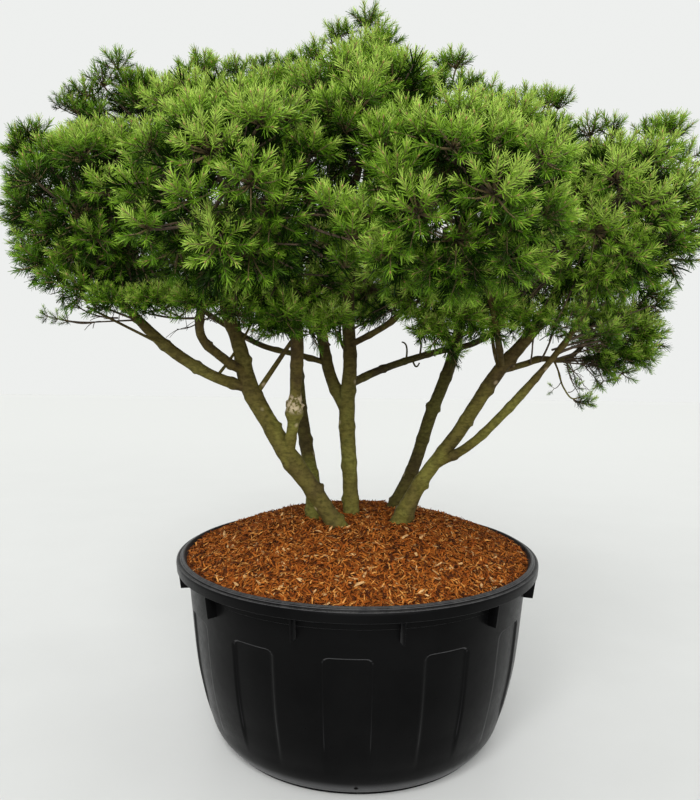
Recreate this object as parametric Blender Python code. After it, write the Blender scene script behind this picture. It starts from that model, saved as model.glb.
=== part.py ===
"""A mops mugo pine grown on several bare stems, standing in a round black plastic tub.

Metres, Z up. The origin is the middle of the tub's flat underside, -Y is the front and +X is on the right.
The crown is a set of foliage masses. Each has a place (turn from the front, reach from the middle, height)
and a size, keeps to its own side of the planes between it and its neighbours, and hangs on one limb.
"""

import math

import bmesh
import bpy
import numpy as np

# The tub: height and radius of its outer wall, its rolled rim and its inner wall.
TUB_SECTORS = 12
TUB_TURN = -3.0
PANEL_HALF = 7.0
PANEL_SLOPE = 0.6
PANEL_DEPTH = 0.005
PANEL_FOOT = 0.085
PANEL_FULL = 0.170
PANEL_HEAD = 0.430
TUB_OUTER = (
    (0.0, 0.414),
    (0.013, 0.416),
    (0.014, 0.426),
    (0.040, 0.447),
    (PANEL_FOOT, 0.4655),
    (PANEL_FULL, 0.490),
    (0.210, 0.499),
    (PANEL_HEAD, 0.525),
    (0.436, 0.5255),
    (0.538, 0.534),
)
TUB_RIM = (
    (0.560, 0.545),
    (0.560, 0.5625),
    (0.541, 0.564),
    (0.541, 0.5695),
    (0.565, 0.571),
    (0.571, 0.567),
    (0.569, 0.562),
    (0.576, 0.558),
    (0.580, 0.552),
    (0.579, 0.547),
)
TUB_INNER = ((0.545, 0.533), (0.500, 0.521), (0.300, 0.500), (0.100, 0.458), (0.014, 0.414))
GUSSET_TURN = 12.0
GUSSET_THICK = 0.005
GUSSET_EDGE = ((0.562, 0.544), (0.535, 0.531), (0.475, 0.524), (0.475, 0.558), (0.532, 0.5655), (0.562, 0.5655))
DRAINS = 6
DRAIN_RADIUS = 0.0065
DRAIN_HEIGHT = 0.036

# The root ball and the bark mulch spread over it.
GROUND_COLUMNS = 24
GROUND_LEVEL = 0.640
GROUND_FLAT = 0.30
GROUND_EDGE = 0.530
CHORD = 0.9925
MULCH_EDGE = 0.560
MULCH_CREST = 0.140
MULCH_BUMP = 0.006
GAP = 0.0003
WIDE_GAP = 0.0005
LONGER = 0.003

# Foliage masses: turn from the front towards +X in degrees, reach, height, half width, half height.
MASSES = {
    "foliage_outer_front_left": (-25, 0.69, 1.57, 0.33, 0.27),
    "foliage_outer_left_front": (-67, 0.73, 1.597, 0.335, 0.28),
    "foliage_outer_left": (-105, 0.72, 1.59, 0.33, 0.293),
    "foliage_outer_back_left": (-145, 0.69, 1.58, 0.33, 0.28),
    "foliage_outer_back": (175, 0.68, 1.58, 0.33, 0.28),
    "foliage_outer_back_right": (135, 0.7, 1.555, 0.33, 0.285),
    "foliage_outer_right": (98, 0.73, 1.64, 0.33, 0.29),
    "foliage_outer_right_front": (61, 0.73, 1.573, 0.33, 0.267),
    "foliage_outer_front_right": (16, 0.7, 1.552, 0.33, 0.26),
    "foliage_middle_front": (3, 0.39, 1.781, 0.328, 0.223),
    "foliage_middle_front_left": (-58, 0.45, 1.782, 0.328, 0.218),
    "foliage_middle_left": (-98, 0.65, 1.864, 0.343, 0.24),
    "foliage_middle_back_left": (-155, 0.46, 1.84, 0.33, 0.235),
    "foliage_middle_back": (152, 0.5, 1.825, 0.33, 0.235),
    "foliage_middle_right": (111, 0.58, 1.811, 0.33, 0.224),
    "foliage_middle_front_right": (50, 0.43, 1.72, 0.324, 0.217),
    "foliage_top_left": (-86, 0.23, 1.935, 0.28, 0.166),
    "foliage_top_peak": (35, 0.01, 2.051, 0.178, 0.182),
    "foliage_top_back": (168, 0.22, 1.96, 0.27, 0.175),
    "foliage_low_front_left": (-36, 0.37, 1.43, 0.24, 0.17),
    "foliage_low_front_right": (34, 0.35, 1.41, 0.208, 0.163),
    "foliage_low_back": (172, 0.34, 1.45, 0.24, 0.17),
    "foliage_low_right": (87, 0.76, 1.26, 0.19, 0.14),
    "foliage_drooping_tuft": (82, 0.71, 1.058, 0.055, 0.05),
}
CORE_SHARE = 0.79
CORE_UNEVEN = (0.94, 1.05)
CORE_GAP = 0.0015
SMALL = 0.1
FULL_SIZE = 0.28
SPRAYS = 9
SPRAY_TRIES = 34
SPRAY_LIFT = 0.30
SPRAY_LONG = (0.54, 0.62)
SPRAY_SLIM = 0.011
SPRAY_ROOT = 0.6
SPRAY_BARE = 0.012
SPRAY_CLEAR = 0.012
LEAST_ROOM = 0.01
NEEDLE_OUT = 0.046
NEEDLE_UNEVEN = (0.85, 1.1)
NEEDLE_FEET = (0.45, 0.75)
NEEDLE_ON = 0.040
LEAST_SHOWN = 0.045
POKE_TALL = 0.055
POKE_REACH = (0.90, 1.0)
LEAST_POKE = 0.03
POKE_SHARE = 0.8
POKE_AWAY = 0.93
POKE_CLEAR = 0.03
STEM_INSIDE = 0.45
STEM_THICK = 0.9
MULCH_RINGS = (0.995, 0.80, 0.60, 0.40, 0.20)
SEED = 41

# Limbs: parent, sides, foliage mass at the tip, then points of the centre line with the radius there.
LIMBS = {
    "stem_front_left": (None, 8, "foliage_middle_left", (
        (-0.039, -0.137, GROUND_LEVEL, 0.037), (-0.073, -0.145, 0.695, 0.028), (-0.140, -0.160, 0.802, 0.026),
        (-0.202, -0.170, 0.888, 0.029), (-0.267, -0.160, 0.994, 0.0255), (-0.329, -0.140, 1.100, 0.0265),
        (-0.368, -0.100, 1.228, 0.0215), (-0.414, -0.060, 1.350, 0.020), (-0.405, -0.020, 1.560, 0.016))),
    "stem_back_left": (None, 7, "foliage_middle_back_left", (
        (-0.119, -0.058, GROUND_LEVEL, 0.041), (-0.130, -0.030, 0.699, 0.036), (-0.143, 0.005, 0.765, 0.025),
        (-0.155, 0.035, 0.824, 0.0225),
        (-0.195, 0.110, 1.029, 0.021), (-0.218, 0.220, 1.297, 0.019), (-0.215, 0.280, 1.500, 0.015))),
    "stem_middle": (None, 8, "foliage_top_peak", (
        (-0.019, -0.045, GROUND_LEVEL, 0.034), (-0.021, -0.040, 0.703, 0.026), (-0.026, -0.030, 0.813, 0.0235),
        (-0.038, -0.010, 1.041, 0.0245), (-0.030, 0.000, 1.152, 0.022), (-0.039, 0.040, 1.375, 0.020),
        (-0.020, 0.030, 1.600, 0.017), (0.020, 0.000, 1.780, 0.013))),
    "stem_right_back": (None, 7, "foliage_middle_right", (
        (0.101, 0.104, GROUND_LEVEL, 0.030), (0.131, 0.110, 0.704, 0.0225), (0.177, 0.120, 0.795, 0.021),
        (0.248, 0.160, 0.999, 0.021), (0.319, 0.210, 1.175, 0.020), (0.353, 0.250, 1.304, 0.019),
        (0.365, 0.235, 1.500, 0.016))),
    "stem_right_front": (None, 8, "foliage_outer_right", (
        (0.111, -0.094, GROUND_LEVEL, 0.038), (0.137, -0.100, 0.699, 0.030), (0.177, -0.110, 0.790, 0.023),
        (0.297, -0.130, 0.967, 0.0205), (0.421, -0.160, 1.172, 0.0195), (0.488, -0.180, 1.258, 0.0175),
        (0.540, -0.170, 1.334, 0.0165), (0.600, -0.090, 1.400, 0.015))),
    "limb_upright": ("stem_front_left", 7, "foliage_low_front_left", (
        (-0.209, -0.170, 0.900, 0.021), (-0.191, -0.210, 1.030, 0.0305), (-0.184, -0.240, 1.130, 0.0215),
        (-0.178, -0.290, 1.250, 0.018))),
    "limb_middle_left": ("stem_middle", 6, "foliage_top_left", (
        (-0.040, -0.010, 1.030, 0.021), (-0.081, 0.020, 1.102, 0.0195), (-0.123, 0.080, 1.262, 0.0175),
        (-0.141, 0.110, 1.361, 0.0165), (-0.160, 0.080, 1.580, 0.014), (-0.168, 0.020, 1.780, 0.012))),
    "bough_left_long": ("stem_front_left", 6, "foliage_outer_left_front", (
        (-0.329, -0.140, 1.100, 0.016), (-0.408, -0.150, 1.123, 0.016), (-0.549, -0.170, 1.205, 0.017),
        (-0.649, -0.190, 1.300, 0.014), (-0.690, -0.230, 1.360, 0.013))),
    "bough_left_rise": ("stem_front_left", 6, "foliage_outer_front_left", (
        (-0.345, -0.130, 1.145, 0.013), (-0.400, -0.200, 1.190, 0.0135), (-0.444, -0.260, 1.240, 0.0125),
        (-0.430, -0.370, 1.320, 0.012), (-0.380, -0.480, 1.400, 0.011))),
    "bough_right_long": ("stem_middle", 6, "foliage_outer_back_right", (
        (-0.030, 0.000, 1.107, 0.013), (0.050, 0.110, 1.140, 0.013), (0.160, 0.240, 1.175, 0.012),
        (0.290, 0.330, 1.210, 0.0115), (0.430, 0.360, 1.245, 0.011), (0.520, 0.400, 1.310, 0.011))),
    "bough_thin_left": ("limb_middle_left", 5, "foliage_outer_left", (
        (-0.103, 0.050, 1.171, 0.009), (-0.182, 0.040, 1.194, 0.009), (-0.309, 0.020, 1.225, 0.0085),
        (-0.430, 0.030, 1.290, 0.0085), (-0.560, 0.110, 1.380, 0.008))),
    "bough_right_outer": ("stem_right_front", 6, "foliage_outer_right_front", (
        (0.240, -0.120, 0.876, 0.014), (0.314, -0.160, 0.925, 0.0135), (0.416, -0.220, 1.038, 0.013),
        (0.493, -0.270, 1.143, 0.013), (0.576, -0.310, 1.267, 0.012), (0.610, -0.340, 1.340, 0.011))),
    "bough_right_low": ("stem_right_front", 5, "foliage_low_right", (
        (0.415, -0.158, 1.160, 0.010), (0.503, -0.100, 1.180, 0.0095), (0.559, -0.070, 1.195, 0.009),
        (0.641, -0.050, 1.195, 0.008))),
    "twig_drooping": ("bough_right_low", 4, "foliage_drooping_tuft", (
        (0.600, -0.060, 1.195, 0.005), (0.612, -0.085, 1.120, 0.0045), (0.635, -0.092, 1.078, 0.004))),
    "bough_back_left": ("stem_back_left", 6, "foliage_outer_back_left", (
        (-0.212, 0.190, 1.230, 0.012), (-0.290, 0.340, 1.340, 0.0115), (-0.360, 0.460, 1.410, 0.011))),
    "bough_back": ("stem_right_back", 6, "foliage_outer_back", (
        (0.335, 0.230, 1.240, 0.012), (0.260, 0.430, 1.330, 0.0115), (0.160, 0.540, 1.410, 0.011))),
    "bough_front_right": ("stem_right_front", 5, "foliage_outer_front_right", (
        (0.421, -0.160, 1.172, 0.010), (0.385, -0.280, 1.245, 0.0095), (0.330, -0.440, 1.360, 0.009),
        (0.300, -0.520, 1.400, 0.009))),
    "bough_middle_front": ("stem_middle", 5, "foliage_middle_front", (
        (-0.037, 0.037, 1.430, 0.011), (-0.035, -0.120, 1.560, 0.0105), (-0.030, -0.230, 1.650, 0.010))),
    "bough_middle_front_left": ("stem_front_left", 5, "foliage_middle_front_left", (
        (-0.414, -0.060, 1.380, 0.011), (-0.395, -0.170, 1.520, 0.0105), (-0.375, -0.230, 1.640, 0.010))),
    "bough_middle_back": ("stem_right_back", 5, "foliage_middle_back", (
        (0.353, 0.250, 1.330, 0.011), (0.300, 0.320, 1.490, 0.0105), (0.240, 0.365, 1.640, 0.010))),
    "bough_middle_front_right": ("stem_right_front", 5, "foliage_middle_front_right", (
        (0.500, -0.180, 1.270, 0.011), (0.425, -0.205, 1.420, 0.0105), (0.370, -0.250, 1.580, 0.010))),
    "bough_top_back": ("stem_middle", 5, "foliage_top_back", (
        (-0.020, 0.030, 1.620, 0.010), (0.015, 0.090, 1.730, 0.0095), (0.030, 0.130, 1.790, 0.009))),
    "bough_low_front_right": ("stem_middle", 5, "foliage_low_front_right", (
        (-0.032, 0.010, 1.230, 0.010), (0.050, -0.100, 1.275, 0.0095), (0.100, -0.170, 1.310, 0.009))),
    "bough_low_back": ("limb_middle_left", 5, "foliage_low_back", (
        (-0.123, 0.080, 1.262, 0.010), (-0.070, 0.160, 1.320, 0.0095), (-0.020, 0.230, 1.350, 0.009))),
}
LIMB_END = 0.86
LEAST_STEP = 0.04
LIMB_END_TAPER = 0.92

COLOURS = {
    "tub_plastic": ((0.012, 0.012, 0.013, 1), 0.48),
    "potting_soil": ((0.035, 0.020, 0.012, 1), 0.95),
    "bark_mulch": ((0.23, 0.085, 0.035, 1), 0.90),
    "stem_bark": ((0.13, 0.115, 0.05, 1), 0.85),
    "pine_needles": ((0.10, 0.22, 0.035, 1), 0.60),
}


def clear_scene():
    for obj in list(bpy.data.objects):
        bpy.data.objects.remove(obj, do_unlink=True)


def material(name):
    found = bpy.data.materials.get(name)
    if found:
        return found
    made = bpy.data.materials.new(name)
    made.use_nodes = True
    shader = made.node_tree.nodes["Principled BSDF"]
    shader.inputs["Base Color"].default_value = COLOURS[name][0]
    shader.inputs["Roughness"].default_value = COLOURS[name][1]
    shader.inputs["Metallic"].default_value = 0.0
    made.diffuse_color = COLOURS[name][0]
    return made


def make_object(name, points, faces, colour=None, home=None):
    mesh = bpy.data.meshes.new(name)
    mesh.from_pydata([tuple(map(float, p)) for p in points], [], [tuple(f) for f in faces])
    tool = bmesh.new()
    tool.from_mesh(mesh)
    bmesh.ops.recalc_face_normals(tool, faces=tool.faces)
    tool.to_mesh(mesh)
    tool.free()
    obj = bpy.data.objects.new(name, mesh)
    (home or bpy.context.scene.collection).objects.link(obj)
    if colour:
        mesh.materials.append(material(colour))
    return obj


def smooth(obj, degrees):
    obj.data.shade_smooth()
    obj.data.set_sharp_from_angle(angle=math.radians(degrees))


def combine(obj, helpers, operation):
    """Fuses or cuts obj with the helpers in one Boolean on a collection, applies it and drops the helpers."""
    home = bpy.data.collections.new(obj.name + "_helpers")
    bpy.context.scene.collection.children.link(home)
    for helper in helpers:
        for place in list(helper.users_collection):
            place.objects.unlink(helper)
        home.objects.link(helper)
        helper.hide_render = True
        helper.display_type = "WIRE"
    change = obj.modifiers.new("join", "BOOLEAN")
    change.operand_type = "COLLECTION"
    change.collection = home
    change.operation = operation
    for solver in ("EXACT", "MANIFOLD"):
        change.solver = solver
        bpy.context.view_layer.update()
        graph = bpy.context.evaluated_depsgraph_get()
        mesh = bpy.data.meshes.new_from_object(obj.evaluated_get(graph))
        if keep_body(mesh):
            break
    obj.modifiers.clear()
    old = obj.data
    obj.data = mesh
    bpy.data.meshes.remove(old)
    for helper in helpers:
        bpy.data.objects.remove(helper, do_unlink=True)
    bpy.data.collections.remove(home)


def keep_body(mesh):
    """Keeps the largest piece of a mesh, makes it all triangles and says whether it is closed."""
    tool = bmesh.new()
    tool.from_mesh(mesh)
    bmesh.ops.triangulate(tool, faces=tool.faces)
    left = set(tool.faces)
    pieces = []
    while left:
        first = left.pop()
        piece = [first]
        open_faces = [first]
        while open_faces:
            face = open_faces.pop()
            for edge in face.edges:
                for other in edge.link_faces:
                    if other in left:
                        left.discard(other)
                        piece.append(other)
                        open_faces.append(other)
        volume = sum(f.verts[0].co.dot(f.verts[1].co.cross(f.verts[2].co)) for f in piece) / 6
        pieces.append((volume, piece))
    pieces.sort(key=lambda pair: -pair[0])
    for _, piece in pieces[1:]:
        bmesh.ops.delete(tool, geom=piece, context="FACES")
    closed = all(edge.is_manifold for edge in tool.edges)
    tool.to_mesh(mesh)
    tool.free()
    return closed


def lathe(name, rings, columns, colour):
    """A closed shell from rings of points: each ring is one list of points, the ends are closed by a fan."""
    points = [p for ring in rings for p in ring]
    faces = []
    for k in range(len(rings) - 1):
        for c in range(columns):
            n = (c + 1) % columns
            a, b = k * columns + c, k * columns + n
            faces.append((a, b, b + columns, a + columns))
    for ring_index in (0, len(rings) - 1):
        middle = len(points)
        points.append(np.mean(np.array(rings[ring_index]), axis=0))
        start = ring_index * columns
        for c in range(columns):
            faces.append((start + c, start + (c + 1) % columns, middle))
    return make_object(name, points, faces, colour)


def around(turn, radius, height):
    angle = math.radians(turn)
    return np.array((radius * math.sin(angle), -radius * math.cos(angle), height))


def build_tub():
    offsets = (-15.0, -PANEL_HALF - PANEL_SLOPE, -PANEL_HALF, PANEL_HALF, PANEL_HALF + PANEL_SLOPE)
    step = 360 / TUB_SECTORS
    columns = [(TUB_TURN + step * k + o, abs(o) == PANEL_HALF) for k in range(TUB_SECTORS) for o in offsets]
    rings = []
    for height, radius in TUB_OUTER:
        faded = min(max((height - PANEL_FOOT) / (PANEL_FULL - PANEL_FOOT), 0), 1)
        sunk = PANEL_DEPTH * faded if height <= PANEL_HEAD else 0.0
        rings.append([around(turn, radius - (sunk if inner else 0), height) for turn, inner in columns])
    for height, radius in TUB_RIM + TUB_INNER:
        rings.append([around(turn, radius, height) for turn, _ in columns])
    tub = lathe("tub", rings, len(columns), "tub_plastic")
    plates = []
    for k in range(TUB_SECTORS):
        turn = GUSSET_TURN + step * k
        side = around(turn + 90, GUSSET_THICK / 2, 0)
        section = [around(turn, radius, height) for height, radius in GUSSET_EDGE]
        count = len(section)
        points = [p + side for p in section] + [p - side for p in section]
        faces = [tuple(range(count)), tuple(range(2 * count - 1, count - 1, -1))]
        for a in range(count):
            b = (a + 1) % count
            faces.append((a, a + count, b + count, b))
        plates.append(make_object(f"plate_{k}", points, faces))
    combine(tub, plates, "UNION")
    plugs = []
    for k in range(DRAINS):
        turn = 360 / DRAINS * k
        plugs.append(rod(f"drain_{k}", ((around(turn, 0.400, DRAIN_HEIGHT), DRAIN_RADIUS),
                                        (around(turn, 0.470, DRAIN_HEIGHT), DRAIN_RADIUS)), 8))
    combine(tub, plugs, "DIFFERENCE")
    smooth(tub, 28)


def tub_radius(height):
    wall = (TUB_RIM[-1:] + TUB_INNER)[::-1]
    heights = [z for z, _ in wall]
    radii = [r for _, r in wall]
    return float(np.interp(height, heights, radii)) * CHORD - WIDE_GAP


def ground_ring(radius, height):
    step = 360 / GROUND_COLUMNS
    return [around(TUB_TURN + step * c, radius, height) for c in range(GROUND_COLUMNS)]


def build_ground(stems):
    edge = tub_radius(GROUND_EDGE)
    walls = [z for z, _ in TUB_INNER[::-1] if z < GROUND_EDGE]
    walls[0] += WIDE_GAP
    rings = [ground_ring(tub_radius(z), z) for z in walls + [GROUND_EDGE]]
    rings.append(ground_ring(GROUND_FLAT, GROUND_LEVEL))
    soil = lathe("soil", rings, GROUND_COLUMNS, "potting_soil")
    smooth(soil, 30)
    rng = np.random.default_rng(SEED)
    rings = [ground_ring(GROUND_FLAT, GROUND_LEVEL + WIDE_GAP), ground_ring(edge, GROUND_EDGE + WIDE_GAP)]
    for share in MULCH_RINGS:
        radius = edge * share
        height = MULCH_EDGE + MULCH_CREST * (1 - share**2)
        ring = ground_ring(radius, height)
        if share < MULCH_RINGS[0]:
            for p in ring:
                p[2] += rng.uniform(-MULCH_BUMP, MULCH_BUMP)
        rings.append(ring)
    mulch = lathe("mulch", rings, GROUND_COLUMNS, "bark_mulch")
    combine(mulch, stems, "DIFFERENCE")
    smooth(mulch, 40)


def rod(name, stations, sides, colour=None, flat_foot=False, home=None):
    """A tapering limb through (point, radius) stations, closed by flat ends, with its foot cut level if asked."""
    spots = [np.array(p, float) for p, _ in stations]
    count = len(spots)
    ways = []
    for k in range(count):
        way = spots[min(k + 1, count - 1)] - spots[max(k - 1, 0)]
        ways.append(way / np.linalg.norm(way))
    guide = np.array((0.0, 1.0, 0.0)) if abs(ways[0][1]) < 0.8 else np.array((1.0, 0.0, 0.0))
    points = []
    for spot, way, (_, radius) in zip(spots, ways, stations):
        across = guide - way * guide.dot(way)
        across /= np.linalg.norm(across)
        guide = across
        other = np.cross(way, across)
        for s in range(sides):
            angle = 2 * math.pi * (s + 0.5) / sides
            points.append(spot + radius * (math.cos(angle) * across + math.sin(angle) * other))
    if flat_foot:
        for s in range(sides):
            points[s] = points[s] + ways[0] * ((spots[0][2] - points[s][2]) / ways[0][2])
    faces = [tuple(range(sides - 1, -1, -1)), tuple(range((count - 1) * sides, count * sides))]
    for k in range(count - 1):
        for s in range(sides):
            n = (s + 1) % sides
            a, b = k * sides + s, k * sides + n
            faces.append((a, b, b + sides, a + sides))
    return make_object(name, points, faces, colour, home)


def mass_size(name):
    _, _, _, wide, tall = MASSES[name]
    return np.array((wide, wide, tall))


def mass_centre(name):
    turn, reach, height, _, _ = MASSES[name]
    return around(turn, reach, height)


def radius_towards(name, way):
    """How far the ellipsoid of a mass reaches from its middle in the unit direction way."""
    return 1 / np.linalg.norm(way / mass_size(name))


def limb_stations(name):
    """The stations of a limb, with its last point set where it enters its foliage mass."""
    _, _, mass, points = LIMBS[name]
    stations = [(np.array(p[:3], float), p[3]) for p in points]
    if points[0][2] == GROUND_LEVEL:
        stations[0][0][2] += GAP
    centre = mass_centre(mass)
    away = stations[-1][0] - centre
    way = away / np.linalg.norm(away)
    short = radius_towards(mass, way) * LIMB_END + stations[-1][1]
    end = centre + way * short
    if np.linalg.norm(away) > short + LEAST_STEP:
        stations.append((end, stations[-1][1] * LIMB_END_TAPER))
    else:
        stations[-1] = (end, stations[-1][1])
    return stations


def swollen(name, extra, tag):
    """A slightly thicker copy of a limb, made longer along its own taper, to cut others clear of it."""
    parent, sides, _, _ = LIMBS[name]
    slack = extra / math.cos(math.pi / sides)
    stations = [(p, r + slack) for p, r in limb_stations(name)]
    longer = {0: LONGER if parent is None else extra, -1: extra}
    for end, length in longer.items():
        (spot, radius), (before, radius_before) = stations[end], stations[1 if end == 0 else -2]
        step = spot - before
        share = length / np.linalg.norm(step)
        stations[end] = (spot + step * share, radius + (radius - radius_before) * share)
    return rod(f"{name}_{tag}", stations, sides, flat_foot=parent is None)


def build_limbs():
    for name, (parent, sides, _, _) in LIMBS.items():
        limb = rod(name, limb_stations(name), sides, "stem_bark", flat_foot=parent is None)
        if parent:
            combine(limb, [swollen(parent, GAP, "cut")], "DIFFERENCE")
        smooth(limb, 50)


def segment_distance(p, a, b):
    """Distance of points p from the segment a to b, and how far along it the nearest point lies."""
    way = b - a
    share = np.clip((p - a) @ way / way.dot(way), 0, 1)
    return np.linalg.norm(p - (a + share[:, None] * way), axis=1), share


def clear_of_limbs(points, slack):
    for name in LIMBS:
        stations = limb_stations(name)
        for (a, ra), (b, rb) in zip(stations, stations[1:]):
            distance, share = segment_distance(points, a, b)
            if (distance < ra + (rb - ra) * share + slack).any():
                return False
    return True


def cell_planes(name):
    """Planes between a mass and its neighbours, as a unit normal and a distance from the middle of the mass."""
    planes = []
    centre = mass_centre(name)
    for other in MASSES:
        if other == name:
            continue
        between = mass_centre(other) - centre
        distance = np.linalg.norm(between)
        way = between / distance
        mine, theirs = radius_towards(name, way), radius_towards(other, -way)
        planes.append((way, distance * mine / (mine + theirs) - CORE_GAP / 2))
    return planes


def held(offset, planes):
    """An offset from the middle, drawn in until it lies inside every plane."""
    share = min([1.0] + [limit / offset.dot(way) for way, limit in planes if offset.dot(way) > limit])
    return offset * share


def spray_mesh(root, tip, turn, wide, bare, scale):
    """A slim three-sided twig, bare up to the length given, then with a needle out of each face and one at its end."""
    way = tip - root
    length = np.linalg.norm(way)
    way /= length
    guide = np.array((0.0, 0.0, 1.0)) if abs(way[2]) < 0.9 else np.array((1.0, 0.0, 0.0))
    across = np.cross(way, guide)
    across /= np.linalg.norm(across)
    other = np.cross(way, across)

    def spot(along, radius, angle):
        return root + way * along + radius * (math.cos(angle) * across + math.sin(angle) * other)

    third = 2 * math.pi / 3
    shoulder = length - NEEDLE_ON * scale
    slim = SPRAY_SLIM * scale
    points = [spot(0, slim, turn + third * k) for k in range(3)]
    points += [spot(bare, slim, turn + third * k) for k in range(3)]
    points += [spot(shoulder, slim, turn + third * (k + 0.5)) for k in range(3)]
    points.append(tip)
    faces = [(2, 1, 0)]
    for k in range(3):
        n = (k + 1) % 3
        faces.append((k, n, 3 + n, 3 + k))
        faces.append((6 + k, 6 + n, 9))
        low, high = (3 + k, 3 + n, 6 + k), (6 + k, 3 + n, 6 + n)
        for corners, share, step in ((low, NEEDLE_FEET[0], 0.5), (high, NEEDLE_FEET[1], 1.0)):
            angle = turn + third * (k + step)
            points.append(spot(bare + (shoulder - bare) * share + NEEDLE_ON * scale * 0.6, wide, angle))
            end = len(points) - 1
            for a in range(3):
                faces.append((corners[a], corners[(a + 1) % 3], end))
    return np.array(points), faces


def golden_way(k, count):
    height = 1 - (2 * k + 1) / count
    angle = k * math.pi * (3 - math.sqrt(5))
    flat = math.sqrt(1 - height * height)
    return np.array((flat * math.cos(angle), flat * math.sin(angle), height))


def mass_sprays(name, rng):
    """Root, tip, turn, needle reach and bare length of each spray of a mass that keeps to its space."""
    centre, planes = mass_centre(name), cell_planes(name)
    scale = min(1.0, float(np.mean(mass_size(name))) / FULL_SIZE)
    found = []
    for k in range(SPRAY_TRIES):
        way = golden_way((k * 7) % SPRAY_TRIES, SPRAY_TRIES)
        full = radius_towards(name, way)
        rise = way + np.array((0, 0, SPRAY_LIFT))
        rise /= np.linalg.norm(rise)
        core = held(way * full * CORE_SHARE, planes)
        root = centre + core * SPRAY_ROOT
        tip = root + rise * full * rng.uniform(*SPRAY_LONG)
        wide = NEEDLE_OUT * scale * rng.uniform(*NEEDLE_UNEVEN)
        shown = np.linalg.norm(tip - centre) - np.linalg.norm(core)
        bare = np.linalg.norm(core) * (1 - SPRAY_ROOT) + SPRAY_BARE * scale
        turn = rng.uniform(0, 2 * math.pi)
        room = np.linalg.norm(tip - root) - bare - NEEDLE_ON * scale
        if shown < LEAST_SHOWN * scale or room < LEAST_ROOM * scale:
            continue
        points, _ = spray_mesh(root, tip, turn, wide, bare, scale)
        if any(((points - centre) @ plane > edge).any() for plane, edge in planes):
            continue
        line = [root + (tip - root) * share for share in (0.3, 0.6, 0.9)]
        if clear_of_limbs(np.concatenate([points, line]), SPRAY_CLEAR * scale):
            found.append((way, (root, tip, turn, wide, bare, scale)))
        if len(found) == SPRAYS:
            break
    return found


def build_mass(name, limb, rng):
    centre, planes = mass_centre(name), cell_planes(name)
    end, end_radius = limb_stations(limb)[-1]
    heading = end - limb_stations(limb)[-2][0]
    heading /= np.linalg.norm(heading)
    small = mass_size(name)[0] < SMALL
    sprays = mass_sprays(name, rng)
    tool = bmesh.new()
    bmesh.ops.create_icosphere(tool, subdivisions=1 if small else 2, radius=1.0)
    for vert in tool.verts:
        way = np.array(vert.co) / np.linalg.norm(vert.co)
        share = CORE_SHARE * rng.uniform(*CORE_UNEVEN)
        vert.co = centre + held(way * radius_towards(name, way) * share, planes)
    for face in list(tool.faces):
        middle = np.array(face.calc_center_median())
        deep = np.linalg.norm(middle - centre)
        way = (middle - centre) / deep
        tall = held(way * min(radius_towards(name, way) * rng.uniform(*POKE_REACH), deep + POKE_TALL), planes)
        if small or np.linalg.norm(tall) - deep < LEAST_POKE or rng.uniform() > POKE_SHARE:
            continue
        if any(way.dot(spray[0]) > POKE_AWAY for spray in sprays):
            continue
        if not clear_of_limbs(np.array([centre + tall * share for share in np.linspace(0.7, 1.0, 7)]), POKE_CLEAR):
            continue
        peak = bmesh.ops.poke(tool, faces=[face])["verts"][0]
        peak.co = centre + tall
    core_mesh = bpy.data.meshes.new(name)
    tool.to_mesh(core_mesh)
    tool.free()
    core_mesh.materials.append(material("pine_needles"))
    mass = bpy.data.objects.new(name, core_mesh)
    bpy.context.scene.collection.objects.link(mass)
    crossing = [other for other in LIMBS if other != limb and crosses_core(name, other)]
    if crossing:
        combine(mass, [swollen(other, 2 * GAP, "clear") for other in crossing], "DIFFERENCE")
    start = end + heading * GAP
    inside = centre + (start - centre) * STEM_INSIDE
    thick = end_radius * STEM_THICK
    square = (start, thick), (start + heading * thick, thick)
    helpers = [rod(name + "_stem", square + ((inside, thick * 0.8),), 3)]
    for k, (_, shape) in enumerate(sprays):
        helpers.append(make_object(f"{name}_spray_{k}", *spray_mesh(*shape)))
    combine(mass, helpers, "UNION")


def crosses_core(name, limb):
    """Whether a limb comes into the core of a mass."""
    centre, size = mass_centre(name), mass_size(name)
    stations = limb_stations(limb)
    for (a, ra), (b, rb) in zip(stations, stations[1:]):
        line = a + (b - a) * np.linspace(0, 1, 12)[:, None]
        reach = size * (CORE_SHARE * 1.05) + max(ra, rb) + 0.002
        if (np.linalg.norm((line - centre) / reach, axis=1) < 1).any():
            return True
    return False


clear_scene()
build_tub()
build_ground([swollen(name, WIDE_GAP, "hole") for name in LIMBS if LIMBS[name][0] is None])
build_limbs()
dealt = np.random.default_rng(SEED)
for limb_name in LIMBS:
    build_mass(LIMBS[limb_name][2], limb_name, dealt)
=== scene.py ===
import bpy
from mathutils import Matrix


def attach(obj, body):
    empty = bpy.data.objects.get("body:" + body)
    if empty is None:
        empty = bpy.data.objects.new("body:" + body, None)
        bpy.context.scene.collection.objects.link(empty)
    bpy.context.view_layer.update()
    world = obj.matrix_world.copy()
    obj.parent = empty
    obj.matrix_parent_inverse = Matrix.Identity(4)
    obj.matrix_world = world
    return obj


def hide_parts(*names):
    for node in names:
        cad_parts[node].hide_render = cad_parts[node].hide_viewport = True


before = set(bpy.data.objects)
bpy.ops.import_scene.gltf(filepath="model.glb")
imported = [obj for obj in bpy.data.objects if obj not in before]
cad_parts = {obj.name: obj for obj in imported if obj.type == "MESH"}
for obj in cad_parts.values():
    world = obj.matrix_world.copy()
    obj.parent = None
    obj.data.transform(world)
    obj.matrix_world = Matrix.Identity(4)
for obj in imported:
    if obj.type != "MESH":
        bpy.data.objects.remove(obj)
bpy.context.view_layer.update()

import math

import bmesh
import bpy
import numpy as np
from mathutils import Matrix, Vector, noise


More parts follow.
